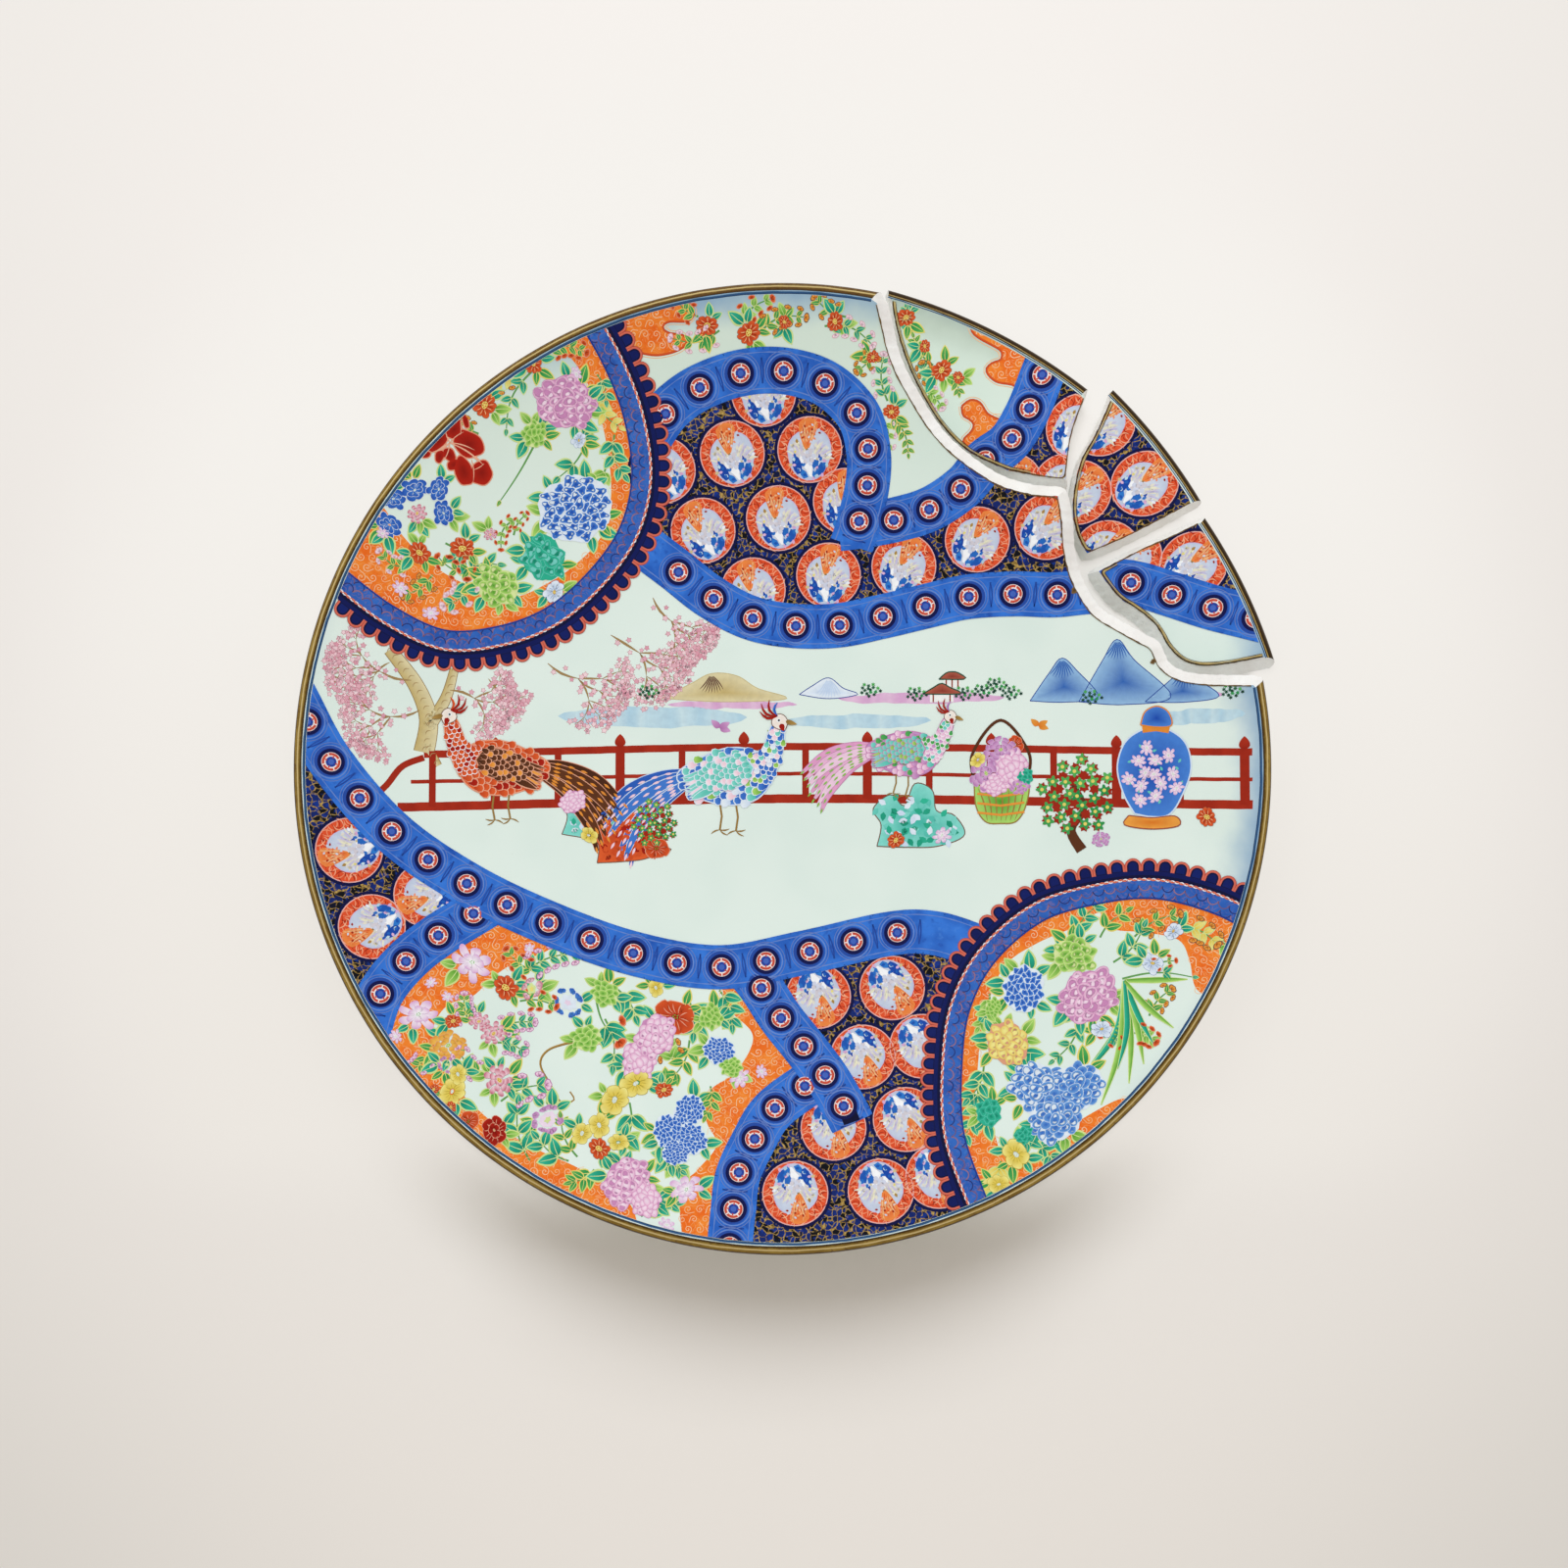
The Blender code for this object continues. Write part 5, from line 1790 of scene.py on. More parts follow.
CRIMSON_PETALS = (                # place, half length, half width, heading in degrees
    (-148.9, 153.2, 7.3, 5.7, -28), (-143.0, 140.2, 5.6, 4.9, 70), (-151.2, 140.6, 6.6, 4.0, 105),
    (-155.6, 143.4, 3.3, 2.3, 20), (-162.3, 146.8, 2.9, 1.9, 70), (-157.8, 147.8, 3.3, 2.5, 130),
    (-162.6, 153.6, 6.4, 2.5, 48), (-155.4, 159.6, 4.8, 3.1, 62), (-150.0, 163.4, 3.2, 1.2, 105),
    (-168.6, 147.4, 2.0, 1.5, 20))
MIDDLE = (-157.5, 153.3)
CRIMSON_VEINS = ((MIDDLE, (-142, 144), 0.95), (MIDDLE, (-146, 150.5), 0.7), (MIDDLE, (-159.4, 158.5), 0.6),
                 (MIDDLE, (-151, 158.6), 0.5), (MIDDLE, (-166, 148.4), 0.7), (MIDDLE, (-160.4, 145), 0.55),
                 ((-147.5, 146.2), (-146.8, 136), 0.5), ((-141.6, 144.6), (-146.8, 141.4), 0.5),
                 ((-152.6, 163), (-152.6, 157), 0.4))
for number, (x, y, long, short, heading) in enumerate(CRIMSON_PETALS):
    points, faces, shades = polar(lambda a: 1 + 0.05 * np.sin(3 * a + number) + 0.035 * np.cos(5 * a), 3, 28)
    for more, tone, lift, shade in ((0.55, "crimson_line", 6.0, 0.2), (0.0, "crimson", 9.2, None)):
        egg = (points * (long + more, short + more), faces, shades)
        flowers.add(moved(egg, (x, y), 1.0, math.radians(heading)), tone, lift + 0.5 * (number % 3), shade)
for start, stop, half in CRIMSON_VEINS:
    for share, lift in ((1.0, 7.8), (0.4, 11.2)):
        flowers.add(stroke(start, stop, 0.06, share * half, 8), "crimson_line", lift, 1.0)

# %% The flowers of the lower panel
lower_flowers = [
    ("lime", 138, -88, 9.5, (150, 110, 60, 200)), ("peony", 144, -108, 13.5, (290, 200, 345, 240)),
    ("blue", 114, -104, 11, (150, 100, 60, 200, 300)), ("canary", 106, -130, 10.5, (100, 150, 200, 320, 20)),
    ("blue_large", 121, -152, 14, (170, 210, 120)), ("blue_large", 138, -151, 12.5, (60,)),
    ("blue_large", 128, -165, 13, (260, 300, 210)), ("yellow", 109, -183, 6.5, (60, 150, 240, 330)),
    ("pale", 174, -93, 5, (150, 60)), ("pale", 150, -124, 4.5, (200,)), ("pale", 184, -78, 4, (30,)),
    ("teal", 97, -163, 6.5, (190, 250, 60)), ("lime", 100, -113, 4.5, (200,)),
    ("yellow", 101, -197, 5, (160, 250)), ("teal", 113, -174, 4.5, (300, 20)),
]
lower_sprays = [
    ((138, -80), (150, -64), 0.1, 3, 7, None, "teal"), ((156, -92), (170, -76), -0.1, 3, 7.5, None, "teal"),
    ((150, -80), (162, -68), 0.1, 2, 7, None, "leaf"),
    ((166, -80), (186, -70), 0.1, 3, 5.5, "orange", "leaf"),
    ((190, -76), (203, -84), 0.1, 3, 6, "orange", "yellow"),
    ((206, -82), (208, -98), 0.1, 3, 5, None, "lime"), ((160, -100), (192, -100), 0.08, 1, 5, None, "teal"),
    ((140, -120), (128, -138), 0.1, 3, 6, None, "teal"), ((98, -106), (93, -122), 0.1, 3, 6, None, "lime"),
    ((95, -140), (88, -156), 0.1, 3, 8, None, "teal"), ((92, -150), (84, -176), 0.1, 4, 7.5, None, "teal"),
    ((102, -186), (92, -206), 0.1, 4, 7, None, "yellow"),
    ((118, -178), (126, -186), 0.1, 2, 7, None, "teal"), ((172, -96), (184, -92), 0.1, 2, 3, "red", "leaf"),
    ((172, -118), (182, -106), 0.1, 3, 5, "orange", "leaf"),
    ((165, -126), (174, -130), 0.1, 3, 5, "red", "lime"),
    ((146, -122), (158, -132), 0.1, 2, 4, "red", "teal"),
]
plant(lower_flowers, lower_sprays, foliage, flowers)
for number, (x, y) in enumerate(((145, -140), (152, -134), (149, -160), (157, -143), (162, -150), (169, -141),
                                 (174, -132), (183, -124), (190, -101), (140, -147))):
    knee = 0.32 + 0.05 * (number % 3)
    blade = smooth([(161, -101), (161 + (x - 161) * knee + 2, -101 + (y + 101) * 0.55), (x, y)], 2.0)
    width = 1.25 * swelling(len(blade), 0.5, 1.0, 0.05)
    foliage.add(ribbon(blade, width + 0.3, 3), "lime_line", 3.0 + 1.8 * (number % 4), 0.7)
    foliage.add(ribbon(blade, width, 3), "teal" if number % 3 == 0 else "lime", 3.8 + 1.8 * (number % 4))

# %% The flowers of the lower left panel
left_flowers = [
    ("yellow_bloom", -157, -132, 8, (120, 200, 280)), ("yellow", -154.5, -154, 6.4, (200, 300)),
    ("yellow", -152, -145.5, 4.4, (30,)), ("orange", -130.7, -103.6, 5.8, (150, 30, 320)),
    ("star", -142.8, -120, 4.8, (100,)), ("star", -136, -125.6, 5.8, (20, 340, 250)),
    ("rosy_wreath", -118.7, -104, 5.4, (40, 350)), ("star", -133.2, -148, 7.2, (150, 100, 20, 330, 240)),
    ("mixed_wreath", -157.4, -141, 4.4, (170, 250)), ("orange", -154.9, -120.2, 3.6, (80, 200)),
    ("poppy", -146.7, -168, 5, (200,)), ("crimson", -134.6, -172, 6.2, (330, 20)),
    ("blue_wreath", -101.3, -110.5, 7.4, (0,)), ("lime", -84, -106, 6.5, (60, 330, 120)),
    ("lime", -92.5, -127.5, 6.8, (100, 200)), ("peony", -60, -126, 10, (200, 90)),
    ("peony", -68, -138, 9, (210, 260)), ("poppy", -51, -117, 9, (40, 0)), ("yellow", -69, -149, 7, (0,)),
    ("yellow", -79, -157, 7, (150,)), ("yellow", -60, -103, 4, (30, 150)),
    ("lime", -34, -117, 6, (60, 350, 200)), ("blue", -30, -133, 7.5, (200, 160)),
    ("lime", -24, -141, 5, (300,)), ("blue", -44, -162, 8, (60,)), ("blue", -53, -172, 8.5, (180, 230)),
    ("blue", -43, -175, 8, (330,)), ("blue", -50, -182, 6.5, (270, 200)), ("yellow", -94, -173, 5, (120,)),
    ("yellow", -86, -169, 5.5, (60,)), ("orange", -86, -180, 5, (300,)), ("yellow", -77, -177, 4.5, (0, 40)),
    ("mixed_wreath", -110.1, -166.3, 7.8, (60, 200, 100)), ("peony", -73, -196, 11.5, (20, 150, 330, 100)),
    ("peony", -64, -204, 8, (0,)), ("blossom", -146.8, -92, 8.6, (200,)),
    ("blossom", -171, -117.5, 8, (240,)), ("blossom", -165.5, -102, 2.6, ()),
    ("blossom", -120, -85, 2.6, ()), ("blossom", -181, -128, 3, ()), ("blossom", -157.6, -108.6, 2.6, ()),
    ("blossom", -45, -199, 7, (200, 0)), ("blossom", -20, -146, 4.5, ()), ("blossom", -10, -143, 3, ()),
    ("blossom", -54, -216, 3.5, ()), ("orange", -56, -152, 4, (60, 120)), ("orange", -163, -153, 2.6, ()),
    ("orange", -154.9, -161.2, 2.6, ()),
]
left_sprays = [
    ((-122, -96), (-97, -87), 0.1, 5, 6, "pink", "teal"),
    ((-116, -96), (-130, -86), 0.1, 3, 5, "red", "leaf"),
    ((-124, -110), (-108, -112), 0.1, 3, 5, "red", "leaf"),
    ((-134, -124), (-118, -120), 0.1, 4, 5, "pink", "teal"),
    ((-134, -130), (-122, -134), 0.1, 3, 5, "pink", "teal"),
    ((-146, -122), (-150, -108), 0.1, 4, 4.6, "pink", "leaf"),
    ((-132, -158), (-112, -150), 0.1, 3, 7, "pink", "teal"),
    ((-140, -146), (-152, -134), 0.1, 3, 5, "pink", "leaf"),
    ((-166, -136), (-174, -144), 0.1, 3, 5, "pink", "leaf"),
    ((-118, -186), (-124, -160), 0.1, 3, 9, None, "teal"),
    ((-100, -186), (-114, -176), 0.1, 2, 9, None, "teal"),
    ((-96, -184), (-104, -166), 0.1, 3, 6, None, "leaf"),
    ((-78, -104), (-70, -116), 0.1, 2, 9, None, "teal"), ((-84, -118), (-80, -140), 0.1, 2, 8, None, "teal"),
    ((-88, -110), (-78, -128), -0.1, 1, 9, "red", "teal"),
    ((-72, -158), (-74, -178), 0.1, 2, 9.5, None, "teal"),
    ((-50, -140), (-54, -128), 0.1, 2, 6, "orange", "lime"),
    ((-44, -110), (-42, -124), 0.1, 2, 9, None, "teal"), ((-30, -104), (-24, -120), 0.1, 3, 8, None, "teal"),
    ((-44, -128), (-52, -146), 0.1, 3, 7.5, None, "leaf"),
    ((-34, -150), (-36, -164), 0.1, 3, 6, None, "leaf"),
    ((-58, -186), (-48, -190), 0.1, 3, 6.5, None, "teal"),
    ((-66, -212), (-50, -206), 0.1, 3, 7, None, "teal"), ((-88, -190), (-98, -196), 0.1, 3, 7, None, "leaf"),
]
plant(left_flowers, left_sprays, foliage, flowers)
tendril = smooth([(-98, -129), (-110, -133), (-114, -140), (-109, -150), (-104, -158), (-98, -157),
                  (-100, -153)], 1.5)
foliage.add(ribbon(tendril, np.linspace(0.6, 0.35, len(tendril)), 3), "gold", 3.0)

# %% The sprays at the top and on the upper shard
top_flowers = [
    ("orange", -36, 210, 5, (60, 250)), ("orange", -16, 207, 5.4, (20, 110, 290)),
    ("orange", 25, 212, 4.2, (90, 330)), ("orange", 1, 212, 3, (80, 260)),
    ("orange", 52, 171, 3.8, (60, 300)), ("orange", 43, 196, 3, (150,)),
]
top_sprays = [
    ((-30, 208), (-52, 204), 0.15, 4, 5, "blush", "leaf"),
    ((-10, 208), (10, 214), 0.15, 4, 5, "orange", "leaf"),
    ((20, 210), (42, 202), 0.15, 4, 5, "blush", "teal"), ((-20, 212), (-6, 222), 0.1, 3, 5, "red", "lime"),
    ((30, 214), (16, 222), 0.1, 3, 5, "orange", "leaf"),
    ((-40, 214), (-50, 221), 0.1, 3, 4.6, "red", "leaf"),
    ((50, 176), (48, 196), 0.1, 4, 4.6, "blush", "teal"), ((54, 167), (60, 152), 0.1, 4, 4.4, None, "leaf"),
    ((48, 168), (50, 154), 0.1, 3, 4, "blush", "lime"),
    ((44, 200), (36, 190), 0.1, 3, 4.2, "orange", "leaf"),
]
plant(top_flowers, top_sprays, foliage, flowers)
lay(foliage, "foliage", ENAMEL, ("dish_body",))
lay(flowers, "flowers", ENAMEL, ("dish_body",))
shard_foliage, shard_flowers = Layer(), Layer()
plant([("orange", 54.4, 211.9, 4.2, (60, 300)), ("orange", 73.2, 188.7, 4.8, (60, 210, 300)),
       ("orange", 64.5, 199.4, 2.8, (200,)), ("orange", 81.4, 185.5, 2.8, (0,))],
      [((69, 191), (59, 203), 0.1, 4, 4.6, None, "leaf"),
       ((70, 184), (64, 191), 0.1, 3, 4.2, "orange", "teal"),
       ((78, 187), (82, 179), 0.1, 3, 4.4, None, "leaf"),
       ((66, 179), (74, 172), 0.1, 3, 4.0, "blush", "lime"),
       ((58, 205), (54, 216), 0.1, 3, 4.0, None, "teal")], shard_foliage, shard_flowers)
lay(shard_foliage, "shard_foliage", ENAMEL, ("upper_shard",))
lay(shard_flowers, "shard_flowers", ENAMEL, ("upper_shard",))

# %% [markdown]
# ## The rim and the edges of the breaks
# The lip is gilded, with brown strips along both sides of the gold. The gold has been handled for a
# long time, so it is worn in patches, most at the back, and it is darker towards the back. Its
# darker edges and the brown strips beside them are painted shade where the lip curves away, and a
# bright line along the gold is a painted highlight. Inside it run a white line, which is the bare
# glaze, and a steel-blue one. Where the dish broke, a dark line along the edge of the glaze is
# painted shade of the break's edge, and on the shards an ochre line runs beside it.

# %% Strips round the lip
def rim_profile(along):
    """Radius, height and outward tilt at a distance in mm over the lip: below 0 is still on the face."""
    along = np.asarray(along, float)
    turn = np.maximum(along, 0) / (math.pi * LIP)
    radius, height = lip_point(turn)
    tilt = face_slope(RIM - LIP) + math.pi / 2 - math.pi * turn
    on_face = LIP_START + along
    flat = along < 0
    radius, height = np.where(flat, on_face, radius), np.where(flat, face_height(on_face), height)
    tilt = np.where(flat, math.pi / 2 + face_slope(on_face), tilt)
    return radius, height, tilt, turn


def rim_strip(name, label, start, stop, lift, material, tone=None, wobble=0.0):
    """A film between two distances over the lip, on the whole stretch of rim that a piece has."""
    first, last = rim_span(name)
    steps = round((last - first) * RIM / 1.3)
    turn = np.linspace(first, last, steps + 1)
    rows = max(2, math.ceil((stop - start) / 0.42)) + 1
    share = np.linspace(0, 1, rows)[:, None]
    sway = wobble * ripple(turn * RIM, 31.0, len(label))[None]
    along = start + sway + (stop - start + 0.6 * sway) * share
    radius, height, tilt, down = rim_profile(along)
    bare = BREAKS[name][1]
    lean = np.zeros(steps + 1)
    lean[0], lean[-1] = -bare[-1] / RIM, bare[0] / RIM
    turns = turn[None] + lean * down
    out = radius + lift * COAT * np.cos(tilt)
    points = np.dstack([out * np.cos(turns), out * np.sin(turns), height + lift * COAT * np.sin(tilt)])
    faces = grid_faces(rows, steps + 1)[:, ::-1]
    across = np.broadcast_to(share, points.shape[:2]).ravel()
    points = points.reshape(-1, 3)
    colours = mixed(TONES[tone], across) if tone else np.column_stack([across, across, across])
    film(label, name, points, faces, points[:, :2], material, colours)
    return 2 * len(faces)


def gilding_finish():
    """Gold over brown: brightest along its middle and darker along both edges as painted shade of the curved
    lip, worn in patches, most at the back, and darker towards the back.
    """
    finish = Finish("worn_gilding_with_painted_shade", metallic=0.75, specular_ior_level=0.4)
    plan = finish.plan()
    across = finish.node("ShaderNodeSeparateColor", {}, {"Color": finish.paint()}, "Red")
    y, = finish.parts(plan, "Y")
    grain = finish.noise(plan, 0.5, 3.0, 0.6)
    # Painted shade: darker along both edges, where the lip curves away.
    edge = ((across - 0.5).math("ABSOLUTE") + (grain - 0.5) * 0.25).step(0.22, 0.47)
    worn = ((grain + y.step(110.0, 225.0) * 0.16).step(0.56, 0.68)) * 0.75
    shade = finish.mix(finish.noise(plan, 0.08).step(0.3, 0.7), colour("8A6C2C"), colour("B09244"))
    shade = finish.mix(edge, shade, colour("4A3412"))
    shade = finish.mix(worn, shade, colour("6B4A1E"))
    shade = finish.mix(y.step(150.0, 229.0) * 0.45, shade, colour("5A3C1C"))
    return finish.feed(Base_Color=shade, Roughness=worn * 0.3 + 0.3, Metallic=0.8 - worn * 0.6).material


GILDING = gilding_finish()
GOLD_START, GOLD_STOP = 0.85, 4.8
total = 0
for name in PIECES:
    start, stop = (0.3, 1.2) if name in REST else (GOLD_START, GOLD_STOP)
    # The brown strips are painted shade along both edges of the gold, and the glint strip is a painted
    # highlight.
    for label, low, high, lift, tone, wobble in (
            ("brown_lip_below", stop - 0.1, 7.6, 0.9, "rim_brown", 0.08),
            ("brown_line_inside", start - 0.35, start + 0.1, 3.2, "rim_brown", 0.05),
            ("gold_glint", start + 0.3 * (stop - start), start + 0.5 * (stop - start), 3.2, "painted_highlight", 0.12)):
        total += rim_strip(name, label, low, high, lift, ENAMEL, tone, wobble)
    total += rim_strip(name, "gilded_lip", start, stop, 1.8, GILDING)
    inner, outer = (-0.75, -0.3) if name in REST else (-1.15, 0.05)
    total += rim_strip(name, "steel_blue_line", inner, outer, 2.0, UNDERGLAZE, "rim_blue", 0.12)
print("rim strips", total, "triangles")

# %% Lines along the breaks
EDGE_DARK_LIFT = 26.0


def edge_line(layer, name, distance, half, tone, lift, reach=(0.0, 1.0), patchy=0.0):
    """A line inside a piece's break, as wide as half each side, thinner and thicker as it goes."""
    line = broken_line(name)[0]
    first, last = (round(share * (len(line) - 1)) for share in reach)
    line = blurred(line, 3)[first:last + 1]
    along = np.arange(len(line)) * BREAK_STEP
    width = half * np.clip(1 + patchy * ripple(along, 23.0, len(tone) + lift), 0.08, 2.2)
    shades = 0.5 + 0.5 * ripple(np.repeat(along, 3), 9.0)
    layer.add(ribbon(offset(line, -distance), width, 3), tone, lift, shades)


for name in PIECES:
    edge_darks = Layer()
    # The dark line at the edge of the glaze is painted shade of the break's edge.
    edge_line(edge_darks, name, 0.25, 0.3, "stain", EDGE_DARK_LIFT, patchy=0.6)
    if name in REST:
        share = {"upper_shard": (0.0, 0.66), "middle_shard": (0.0, 0.6), "lower_shard": (0.3, 1.0)}[name]
        edge_line(edge_darks, name, 0.35, 0.3, "rim_brown", EDGE_DARK_LIFT + 0.8, share, 0.25)
        edge_line(edge_darks, name, 1.1, 0.34, "ochre", EDGE_DARK_LIFT + 1.6, share, 0.55)
        edge_line(edge_darks, name, 1.7, 0.12, "rim_brown", EDGE_DARK_LIFT + 2.4, share, 0.5)
    lay(edge_darks, "break_edge_darks", ENAMEL, (name,))
chips = Layer()
for x, y, size, turn in ((139, 86, 2.4, 1.2), (176, 51, 2.0, 0.7), (133, 112, 1.4, 1.5),
                         (118, 131.5, 1.2, 0.1)):
    chip = polar(lambda a: size * (0.5 + 0.3 * np.cos(a) ** 2 + 0.1 * np.sin(5 * a)), 2, 18)
    chips.add(moved(chip, (x, y), 1.0, turn), "stain", EDGE_DARK_LIFT + 1)
lay(chips, "chip_marks", ENAMEL, ("dish_body",))

# %% [markdown]
# ## The garden in the middle
# Between the bands lies a white field with a garden by a lake. A low red bridge crosses it, with three
# long-tailed birds, a jar, a basket of flowers and rocks along it, hills behind and a tree in blossom
# at the left. These are stock motifs of painted porcelain, arranged here in a way of their own. Large
# shapes are patches, filled outwards from their middle, and are then dotted with small strokes.

# %% Mirrored layers and twigs
def flipped(layer):
    """The same layer as seen in a mirror, left for right."""
    other = Layer()
    other.points = [points * (-1, 1) for points in layer.points]
    other.faces, other.tones, other.shades = list(layer.faces), list(layer.tones), list(layer.shades)
    other.lifts, other.count = list(layer.lifts), layer.count
    return other


TWIG_FORKS = (-0.62, 0.08, 0.58)


def blossoming(layer, root, heading, length, depth, seed=0):
    """A twig in bloom that forks in three: each part is seven tenths as long as the one before."""
    tip = ray(heading, length, root)
    twig = stroke(root, tip, 0.1 * math.sin(seed * 2.1), 0.22 + 0.14 * depth)
    layer.add(twig, "twig", 2.0 + 0.3 * depth, 0.3)
    for number in range(4):
        side = 1 if (number + seed) % 2 else -1
        base = ray(heading, length * (0.2 + 0.25 * number), root)
        way = heading + side * (0.9 + 0.3 * math.sin(seed + number))
        place = ray(way, 1.8 + 1.2 * ((seed * 0.37 + number * GOLDEN) % 1), base)
        size = 0.8 + 0.4 * ((number * 0.73 + seed * 0.31) % 1)
        shade = (seed * 0.43 + number * GOLDEN) % 1
        for more, tone, lift, own in ((0.22, "cherry_line", 3.2, 0.6), (0.0, "cherry", 3.6, shade)):
            layer.add(moved(BLOSSOM, place, size + more, seed + number), tone, lift + 0.5 * (number % 3), own)
    if depth:
        for fork, lean in enumerate(TWIG_FORKS):
            way = heading + lean + 0.16 * math.sin(seed * 1.7 + fork)
            blossoming(layer, tip, way, length * 0.72, depth - 1, 3 * seed + fork + 1)


BLOSSOM = rosette(1.25, 0.26, 5)

# %% Hills, water and mist
distance = Layer()
for x, y, length, half, tone in (
        (-62, 27, 90, 5.0, "lake"), (36, 25, 70, 3.4, "lake"), (196, 24, 44, 3.6, "lake"),
        (-24, 33, 62, 1.9, "mist"), (66, 36, 80, 2.6, "mist"), (190, 34, 36, 2.2, "mist")):
    t = np.linspace(-1, 1, 33)
    line = np.column_stack([x + t * length / 2, y + 0.7 * ripple(t * 40, 33.0, x)])
    streaks = 0.5 + 0.4 * ripple(np.repeat(t * 50, 5), 19.0)
    distance.add(ribbon(line, half * np.sqrt(1.001 - t ** 2), 5), tone, 1.0, streaks)
for points, tone in (([(-58, 36), (-44, 43), (-34, 48), (-22, 47), (-12, 41), (2, 36), (-28, 34.5)], "sand"),
                     ([(8, 38), (14, 42), (22, 46), (29, 41), (36, 38), (22, 36)], "blue_pale"),
                     ([(118, 34), (127, 47), (133, 54), (140, 48), (150, 35), (134, 33)], "peak"),
                     ([(141, 33), (152, 52), (159, 62), (167, 52), (184, 34), (162, 31)], "peak"),
                     ([(172, 32), (184, 42), (190, 47), (197, 41), (206, 33), (190, 31)], "peak")):
    outlined(distance, points, tone, 2.4, "sand" if tone == "sand" else "cobalt_line", 0.2, 4)
    top = max(points, key=lambda p: p[1])
    for number in range(9):
        way = -math.pi / 2 + 0.16 * (number - 4)
        distance.add(stroke(ray(way, 1.5, top), ray(way, 9.5, top), 0.05, 0.3),
                     "outline" if tone == "sand" else tone, 3.8, 0.0)
for x, y in ((96, 37), (102, 40), (109, 36), (87, 36), (64, 36), (-64, 37), (42, 38), (147, 33), (212, 33)):
    for number in range(16):
        place = np.array(ray(number * 2.4, 1.0 * math.sqrt(number))) * (1.35, 0.8) + (x, y + 2.2)
        leafy = moved(rosette(1.1, 0.25, 6, 1, 12), place, 1.0, number)
        distance.add(leafy, "leaf" if number % 3 == 2 else "pine", 4.6 + 0.5 * (number % 3), jump(number))
for x, y, size in ((76, 38, 1.0), (81, 45, 0.7)):
    distance.add(ribbon([(x, y - 4), (x, y)], 5.6 * size, 2), "white", 4.0, 0.3)
    for across in (-4, 0, 4):
        distance.add(ribbon([(x + across * size, y - 4), (x + across * size, y)], 0.35), "roof", 5.0, 0.2)
    eaves = [(x - 9 * size, y), (x - 4 * size, y + 3), (x, y + 5 * size), (x + 4 * size, y + 3),
             (x + 9 * size, y)]
    outlined(distance, eaves, "roof", 5.6, "pine", 0.3, 3)
lay(distance, "hills_and_water", ENAMEL, ("dish_body",))

# %% The red bridge
bridge = Layer()


def bridge_height(x):
    """The deck rises in a low arch: a sine over the whole length of the bridge."""
    return -19.0 + 7.0 * np.sin(math.pi * (x + 190) / 410)


for low, high, above, half in ((-182, 221, 0.0, 2.1), (-176, 221, 12.0, 0.9), (-170, 221, 25.0, 1.75)):
    across = np.linspace(low, high, 160)
    line = np.column_stack([across, bridge_height(across) + above + 0.1 * ripple(across, 17.0, half)])
    bridge.add(ribbon(line, half, 3), "railing", 2.0, 0.5 + 0.35 * ripple(np.repeat(across, 3), 21.0, half))
for number, x in enumerate(np.arange(-166, 222, 29.5)):
    foot = bridge_height(x)
    half = 2.2 if number % 2 else 1.6
    post = [(x, foot), (x, foot + 8), (x, foot + 17), (x, foot + 26.5)]
    bridge.add(ribbon(post, half, 3), "railing", 3.0, 0.3)
    if number % 2:
        bridge.add(moved(petal(6.5, 2.6, 0.7), (x, foot + 26), 1.0, math.pi / 2), "railing", 3.8)
bridge.add(ribbon(smooth([(-170, 5.5), (-180, 1), (-187, -8), (-193, -14)], 2), 1.5, 3), "railing", 2.6, 0.4)
lay(bridge, "red_bridge", ENAMEL, ("dish_body",))


